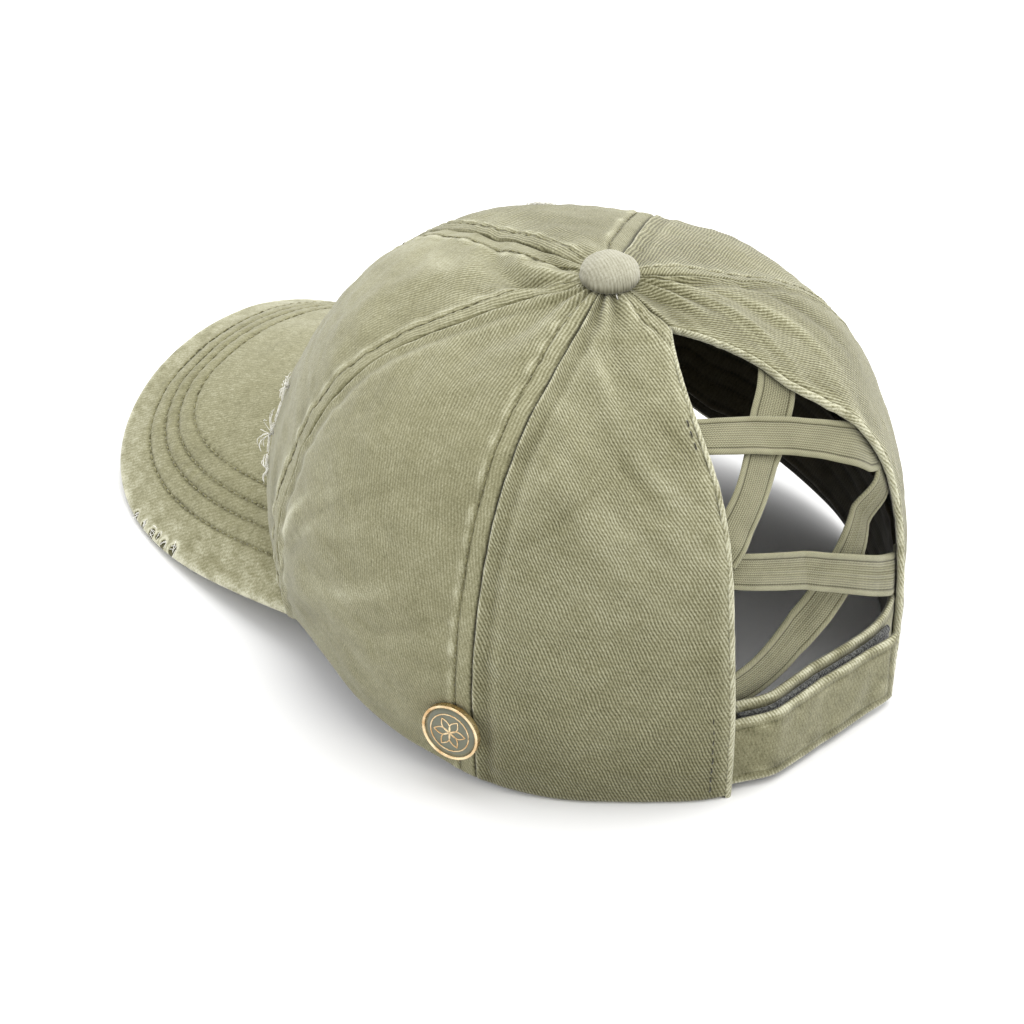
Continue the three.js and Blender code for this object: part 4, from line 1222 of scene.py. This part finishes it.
def close_poles(made):
    """Welds the tiny rings at a turned piece's axis, so that the mesh is closed."""
    mesh = bmesh.new()
    mesh.from_mesh(made.data)
    bmesh.ops.remove_doubles(mesh, verts=mesh.verts, dist=3 * POLE_RADIUS * MM)
    mesh.to_mesh(made.data)
    mesh.free()


make_button()


# Badge

BADGE_LIP = 0.75
PETAL_REACH = 0.62
PETAL_HALF_WIDTH = 0.15
RING_REACH = 0.76
ORNAMENT_WIRE = 0.22


def badge_frame():
    """The badge's seat on the crown: a point and its up, sideways and outward directions."""
    angle, turn, tip = BADGE_ANGLE * DEGREE, BADGE_TURN * DEGREE, BADGE_TIP * DEGREE
    climb = climb_at(angle, rim_height(angle) + BADGE_RISE)
    here = crown_point(angle, climb).reshape(3)
    out = np.array([math.sin(turn) * math.cos(tip), -math.cos(turn) * math.cos(tip), math.sin(tip)])
    side = np.array([math.cos(turn), math.sin(turn), 0.0])
    ring = np.linspace(0, 2 * math.pi, 53)
    beside = angle + BADGE_RADIUS * np.cos(ring) / rim_distance(angle)
    edge = crown_point(beside, climb + BADGE_RADIUS * np.sin(ring) / CLOTH_LENGTH)
    stand = max(0, ((edge - here) @ out).max()) + PIECE_GAP
    return here + out * stand, np.cross(out, side), side, out


def on_badge(spot, x, y, level):
    """Points at plan places x and y on the badge, at a level over its seat."""
    origin, up, side, out = spot
    x, y, level = (np.asarray(part)[..., None] for part in (x, y, level))
    return origin + x * side + y * up + level * out


def make_turned(name, profile, material, slot, spot, node_name):
    """A piece turned about the badge's axis from a closed profile of radius and height."""
    profile = np.array(profile)
    turn = np.arange(TURNED_SIDES) * 2 * math.pi / TURNED_SIDES
    turns, radius = np.meshgrid(turn, profile[:, 0], indexing="ij")
    points = on_badge(spot, np.cos(turns) * radius, np.sin(turns) * radius, profile[:, 1] + 0 * turns)
    made = build_mesh(name, points, grid_faces(len(turn), len(profile), wrap=True)[:, ::-1])
    close_poles(made)
    return add_piece(made, material, slot, node_name)


def make_badge():
    spot = badge_frame()
    outer, height, lip = BADGE_RADIUS, BADGE_HEIGHT, BADGE_LIP
    bevel = [(outer - 0.25 + 0.25 * math.sin(t), height - 0.3 + 0.3 * math.cos(t))
             for t in np.linspace(1.57, 0, 6)]
    rim = [(POLE_RADIUS, 0.0), (outer - 0.4, 0.0), (outer - 0.05, 0.25), (outer, 0.6), *bevel,
           (outer - lip, height - 0.02), (outer - lip - 0.12, height - 0.15),
           (outer - lip - 0.15, height - 0.45), (POLE_RADIUS, height - 0.5)]
    make_turned("badge_rim_fine", rim, GOLD, "badge_metal", spot, "badge_rim")
    face_radius = outer - lip - 0.18
    dome = [(POLE_RADIUS, height - 0.48), (face_radius, height - 0.46), (face_radius, height - 0.3),
            (face_radius * 0.8, height - 0.22), (face_radius * 0.4, height - 0.16),
            (POLE_RADIUS, height - 0.14)]
    make_turned("badge_face_fine", dome, ENAMEL, "badge_enamel", spot, "badge_face")
    make_rosette(spot, face_radius, height - 0.14)


def make_rosette(spot, reach, level):
    """Plain raised ornament on the badge: six pointed petals inside a fine ring."""
    share = np.linspace(0, 1, 25)
    run = PETAL_REACH * reach * (1 - np.abs(2 * share - 1))
    wide = PETAL_HALF_WIDTH * reach * np.sign(0.5 - share) * np.sin(np.pi * (1 - np.abs(2 * share - 1)))
    paths = []
    for lean in np.arange(6) * math.pi / 3:
        x = run * math.cos(lean) - wide * math.sin(lean)
        y = run * math.sin(lean) + wide * math.cos(lean)
        paths.append(on_badge(spot, x, y, np.full(len(share), level)))
    turn = share * 2 * math.pi
    ring = RING_REACH * reach
    paths.append(on_badge(spot, ring * np.cos(turn), ring * np.sin(turn), np.full(len(share), level - 0.03)))
    paths = np.array(paths)
    ups = np.broadcast_to(spot[-1], paths.shape)
    radii = np.full(paths.shape[:2], ORNAMENT_WIRE)
    make_threads("badge_rosette", paths, ups, radii, GOLD, "badge_metal")


make_badge()


# Elastics

END_TUCK = 9.0
# Rows across an elastic as shares of its width, closer set over the edge cord.
CORD_ROWS = [0, 0.012, 0.035, 0.07, 0.105, 0.135, 0.155, 0.17, 0.19, 0.22]
CORD_GROOVE = 1.95


def make_elastic(name, left, right, bow, twist, left_layer, middle_layer, seed):
    """An elastic from the opening's left edge to its right one, with a cord along each side."""
    seat = (CLOTH_WALL + HEM_THICKNESS) / 2 + ELASTIC_GAP
    ends = []
    for share, sign in ((left, 1), (right, -1)):
        climb = share * TOP_CLIMB
        ends.append((sign * float(opening_aside(climb, 0.0, sign)), climb * CLOTH_LENGTH))
    (start_x, start_y), (end_x, end_y) = ends
    length = math.hypot(end_x - start_x, end_y - start_y)
    unit_x, unit_y = (end_x - start_x) / length, (end_y - start_y) / length
    section = np.concatenate([CORD_ROWS, np.linspace(0.26, 0.74, 11)])
    section = np.unique(np.concatenate([section, 1 - section]))
    share, across = np.meshgrid(np.linspace(0, 1, STRIP_COLUMNS), section, indexing="ij")
    run = share * (length + ELASTIC_TUCK + END_TUCK) - ELASTIC_TUCK
    part = np.clip(run / length, 0, 1)
    wavy = 0.004 * bumps(run, run * 0, 9, 22, 5, seed)
    bent = 4 * part * (1 - part)
    offset = (0.5 - across + bow * bent + wavy) * ELASTIC_WIDTH
    aside = start_x + run * unit_x + offset * unit_y
    climb = (start_y + run * unit_y - offset * unit_x) / CLOTH_LENGTH
    left_part = 1 - smooth_step(run / LAYER_RUN)
    middle_part = smooth_step((length - run) / LAYER_RUN) - left_part
    layer = left_layer * left_part + middle_layer * middle_part
    depth = seat + layer * (ELASTIC_THICKNESS + PIECE_GAP)
    depth += (0.5 - across) * twist * bent * ELASTIC_WIDTH
    signed = signed_back_angle(aside, climb)
    wide = np.minimum(across, 1 - across) * ELASTIC_WIDTH
    half = ELASTIC_THICKNESS / 2
    cord = rounded_edge(wide, half)
    body = half * cord - 0.22 * ridge(wide, CORD_GROOVE, 0.28) - 0.12 * smooth_step((wide - 1.9) / 0.4)
    body += 0.05 * np.sin(run * 2 * math.pi / 0.9) * smooth_step(1 - wide / 1.6) * cord
    outside = crown_point(signed, climb, depth + half - body)
    inside = crown_point(signed, climb, depth + half + body)
    flat = cloth_place(run, across * ELASTIC_WIDTH, seed)
    edge = smooth_step((2.0 - wide) / 0.2)
    # Painted shade in the groove beside each edge cord.
    dark = 0.75 * ridge(wide, CORD_GROOVE, 0.25)
    looks = {"cloth": (flat, flat), "edge": (edge, edge), "shade": (dark, dark)}
    return add_shell(f"{name}_fine", (outside, inside), looks, ELASTIC, "elastic", name, flip=True)


for number, row in enumerate(ELASTICS):
    make_elastic(*row, 110 + number)


# Closure

TUCKED = -(CLOTH_WALL + HEM_THICKNESS) / 2 - PIECE_GAP
STRIP_TOP = TUCKED + PIECE_GAP + HOOK_STRIP_THICKNESS
OUTER_STAND = STRIP_TOP + PIECE_GAP + TAB_THICKNESS
TAB_END = OPENING_HALF_WIDTH - TAB_INSET
# Painted shade: each tab is darkened as a whole.
TAB_SHADE = 0.22
STRIP_START_SHARE = 0.98
STRIP_END_INSET = 0.4
STRIP_TOP_INSET = 0.9


def dip(aside):
    """How far the tabs sink towards the crown before they pass under the hem."""
    share = (aside / OPENING_HALF_WIDTH - TAB_DIP_SHARE) / (1 - TAB_DIP_SHARE)
    return smooth_step(share) * (OUTER_STAND - TUCKED)


def tab_stand(aside):
    flare = TAB_FLARE * smooth_step((TAB_FLARE_RUN - TAB_END - aside) / TAB_FLARE_RUN)
    return OUTER_STAND - dip(aside) + flare


def make_strip(node_name, start, end, low, high, stand, thickness, material, slot, seed):
    """A closure strip with rounded, stitched edges, along the rim between two places."""
    tall = high - low
    edge_rows = np.array([0, 0.25, 0.6, 1.0, 1.5, 2.1, 2.8, 3.4, 4.0])
    rows = np.concatenate([edge_rows, np.linspace(4.8, tall - 4.8, 15), tall - edge_rows[::-1]])
    along, up = np.meshgrid(np.linspace(0, 1, STRIP_COLUMNS), rows, indexing="ij")
    aside = start + along * (end - start)
    climb = climb_at(math.pi, low + up)
    signed = signed_back_angle(aside, climb)
    from_end = (1 - along) * abs(end - start)
    edge = np.minimum(np.minimum(up, tall - up), from_end)
    half = thickness / 2
    cord = rounded_edge(edge, half, 0.02)
    relief = 0.12 * bumps(aside, up, 6, 20, 12, seed)
    relief += 0.1 * ridge(edge, 1.6, 0.9) - 0.22 * ridge(edge, 3.2, 0.5)
    body = half * cord + relief * smooth_step(edge / 1.2) * 0.8
    outside = crown_point(signed, climb, half - body - stand(aside))
    inside = crown_point(signed, climb, half + half * cord - stand(aside))
    flat = cloth_place(-aside, up, seed)
    rough = bumps(aside, up, 3, 12, 12, seed + 1)
    wear = 0.7 * ridge(edge, 0.4, 1.0) * (0.8 + 0.3 * rough) + 0.1 * rough * ridge(edge, 4, 3)
    # Painted shade: the tab darker as a whole by TAB_SHADE and darker still in its stitch line's groove, less
    # so right at the edge; its inner side takes half the dark inner tint.
    shade = TAB_SHADE + 0.3 * ridge(edge, 3.2, 0.45) - 0.2 * ridge(edge, 0.3, 1.0)
    ribs = 0.2 + 0.8 * ridge(edge, 0.5, 1.1)
    looks = {"cloth": (flat, flat), "wear": (wear, 0.0), "shade": (shade, 0.0), "ribs": (ribs, 0.4),
             "lining": (0.0, 0.5)}
    return add_shell(f"{node_name}_fine", (outside, inside), looks, material, slot, node_name, flip=True)


def make_closure():
    """The outer tab from the left, the inner tab from the right and the hook strip between them."""
    low, high = TAB_FLOOR_GAP, TAB_FLOOR_GAP + TAB_HEIGHT
    inner_low = low + INNER_TAB_RISE
    inner_end = OPENING_HALF_WIDTH - INNER_TAB_INSET
    make_strip("closure_tab_outer", LEFT_EDGE + TAB_ROOT, -TAB_END, low, high, tab_stand,
               TAB_THICKNESS, CLOTH, "trim", 121)
    make_strip("closure_tab_inner", -RIGHT_EDGE - TAB_ROOT, inner_end, inner_low, high + INNER_TAB_RISE,
               lambda aside: TUCKED - dip(aside), TAB_THICKNESS, CLOTH, "trim", 123)
    make_strip("hook_strip", -OPENING_HALF_WIDTH * STRIP_START_SHARE, inner_end - STRIP_END_INSET,
               inner_low, inner_low + HOOK_STRIP_HEIGHT - STRIP_TOP_INSET,
               lambda aside: STRIP_TOP - dip(aside), HOOK_STRIP_THICKNESS, HOOKS, "hooks", 125)


make_closure()


# Loose threads

# Tufts on the crown: angle, climb, spread, length of thread, count, lift.
TUFTS = [
    (33.0, 0.285, 1.0, 4.5, 16, 2.4),
    (37.5, 0.215, 0.7, 7.5, 11, 4.6),
    (42.5, 0.19, 0.9, 4.5, 14, 2.6),
    (332, 0.6, 5.5, 3.0, 90, 0.9),
    (148.5, 0.963, 0.5, 1.8, 14, 0.7),
]
# Twisted thread between the tufts at the front: angle, climb.
FRAYED_LINE = np.array([(32.5, 0.285), (37.0, 0.29), (38.5, 0.255),
                        (37.5, 0.215), (41.0, 0.21), (42.5, 0.19)])
FRAY_RADIUS = 0.14
FRAY_STEPS = 7
HOLE_THREADS = 6
LINE_STRANDS = 4


def crown_tuft(angle, climb, spread, length, count, lift):
    """Paths of short threads that stand out of the cloth round a place on the crown."""
    share = np.linspace(0, 1, FRAY_STEPS)
    start = rng.normal(0, spread / 2, (count, 2, 1))
    turn = rng.uniform(0, 2 * math.pi, (count, 1))
    curl = rng.normal(0, 0.8, (count, 1)) * share
    reach = length * rng.uniform(0.5, 1.0, (count, 1)) * share
    aside = start[:, 0] + reach * np.cos(turn + curl)
    along = start[:, 1] + reach * np.sin(turn + curl)
    proud = lift * rng.uniform(0.3, 1.0, (count, 1)) * np.sin(np.pi * 0.7 * share) - 0.1
    turned = angle * DEGREE + aside / rim_distance(angle * DEGREE)
    return crown_point(turned, np.clip(climb + along / CLOTH_LENGTH, 0, 1), 0.0, proud)


def hole_threads():
    """Paths of the threads that cross and fringe the worn-through spots of the peak."""
    share = np.linspace(-1, 1, FRAY_STEPS)
    paths = []
    for middle, radius in hole_places():
        for _ in range(HOLE_THREADS):
            turn = rng.uniform(0, 2 * math.pi)
            away = rng.uniform(0.1, 1.5) * radius
            lean = rng.uniform(0, math.pi)
            half = rng.uniform(0.6, 1.3) * radius
            x = middle[0] + away * math.cos(turn) + half * share * math.cos(lean)
            y = middle[1] + away * math.sin(turn) + half * share * math.sin(lean)
            z = peak_top(x, y) + 0.25 + rng.uniform(0.0, 0.5) * (1 - share**2)
            paths.append(np.stack([x, y, z], -1))
    return np.array(paths)


def frayed_line():
    """Paths of the strands that twist along FRAYED_LINE, cut in five lengths each."""
    share = np.linspace(0, 1, FRAY_STEPS * 5)
    angle, climb = (curve_through(FRAYED_LINE[:, k], share) for k in (0, 1))
    paths = []
    for k in range(LINE_STRANDS):
        phase = 2 * math.pi * (k / LINE_STRANDS + 3 * share)
        aside, along = 0.35 * np.cos(phase), 0.35 * np.sin(phase)
        turned = angle * DEGREE + aside / rim_distance(angle * DEGREE)
        path = crown_point(turned, climb + along / CLOTH_LENGTH, 0.0, 1.0 + 0.3 * np.sin(phase))
        paths.append(path.reshape(5, FRAY_STEPS, 3))
    return np.concatenate(paths)


def make_frays():
    paths = np.concatenate([*(crown_tuft(*row) for row in TUFTS), hole_threads(), frayed_line()])
    ups = np.broadcast_to((0.1, 0.2, 0.97), paths.shape)
    radii = np.full(paths.shape[:2], FRAY_RADIUS) * np.linspace(1.0, 0.6, FRAY_STEPS)
    make_threads("frayed_threads", paths, ups, radii, WHITE_THREAD, "cloth", sides=4)


def make_edge_stitches():
    """Dark stitches beside the opening's left edge, at its foot and near its top."""
    lines = []
    for low, high, inset in ((0.012, 0.19, 5.2), (0.64, 0.71, 2.6)):
        climb = np.linspace(low, high, 120)
        angle = back_angle(opening_aside(climb, BEAD_RADIUS + inset, 1), climb)
        lines.append((*crown_line(angle, climb, 0.1 + crease_height(angle, climb)), 90))
    make_stitches("edge_stitches", lines, EDGE_SPACING, EDGE_THREAD, DARK_STITCH, "cloth")


make_frays()
make_edge_stitches()


# Floor, lights and camera

# Soft lights: name, place and size in metres, and watts.
LIGHTS = [("overhead_softbox", (-0.4, -0.1, 1.4), 1.9, 20), ("far_softbox", (-1.5, 0.4, 0.5), 1.2, 11)]
LIGHT_TARGET = Vector((0, 0, 0.06))
SKY_STRENGTH = 1.15
FLOOR_HALF = 3.0


def make_floor():
    mesh = bpy.data.meshes.new("floor")
    corners = [(-FLOOR_HALF, -FLOOR_HALF, 0), (FLOOR_HALF, -FLOOR_HALF, 0), (FLOOR_HALF, FLOOR_HALF, 0),
               (-FLOOR_HALF, FLOOR_HALF, 0)]
    mesh.from_pydata(corners, [], [(0, 1, 2, 3)])
    floor = bpy.data.objects.new("floor", mesh)
    bpy.context.scene.collection.objects.link(floor)
    material, tree, shader = new_material("pale_floor", 0.9, specular=0.1)
    where = node(tree, "ShaderNodeTexCoord").outputs["Object"]
    tint = noise(tree, where, 3.0, 2.0)
    tree.links.new(mixed(tree, tint, (0.9, 0.9, 0.9, 1), (0.92, 0.92, 0.92, 1)), shader.inputs["Base Color"])
    mesh.materials.append(material)


def make_lights():
    for name, place, size, watts in LIGHTS:
        lamp = bpy.data.lights.new(name, "AREA")
        lamp.shape = "DISK"
        lamp.size = size
        lamp.energy = watts
        made = bpy.data.objects.new(name, lamp)
        made.location = place
        made.rotation_mode = "QUATERNION"
        made.rotation_quaternion = (LIGHT_TARGET - Vector(place)).to_track_quat("-Z", "Y")
        bpy.context.scene.collection.objects.link(made)
    world = bpy.data.worlds.new("studio")
    bpy.context.scene.world = world
    world.use_nodes = True
    background = world.node_tree.nodes["Background"]
    background.inputs[0].default_value = (1, 1, 1, 1)
    background.inputs[1].default_value = SKY_STRENGTH


CAMERA_AZIMUTH = 135.754
CAMERA_ELEVATION = 36.514
CAMERA_DISTANCE = 1158.0
CAMERA_TARGET = (32.627, 2.412, 52.814)
CAMERA_FOCAL_PIXELS = 3948.3
IMAGE_PIXELS = 1024
SENSOR = 36.0


def make_camera():
    a, e = CAMERA_AZIMUTH * DEGREE, CAMERA_ELEVATION * DEGREE
    back = Vector((math.sin(a) * math.cos(e), -math.cos(a) * math.cos(e), math.sin(e)))
    data = bpy.data.cameras.new("camera")
    data.sensor_width = SENSOR
    data.sensor_fit = "HORIZONTAL"
    data.lens = CAMERA_FOCAL_PIXELS / IMAGE_PIXELS * SENSOR
    data.clip_start, data.clip_end = 0.05, 20
    camera = bpy.data.objects.new("camera", data)
    camera.location = Vector(to_frame(CAMERA_TARGET)) + back * CAMERA_DISTANCE * MM
    camera.rotation_mode = "QUATERNION"
    camera.rotation_quaternion = (-back).to_track_quat("-Z", "Y")
    bpy.context.scene.collection.objects.link(camera)
    bpy.context.scene.camera = camera


make_floor()
make_lights()
make_camera()
bpy.context.scene.view_settings.view_transform = "Standard"
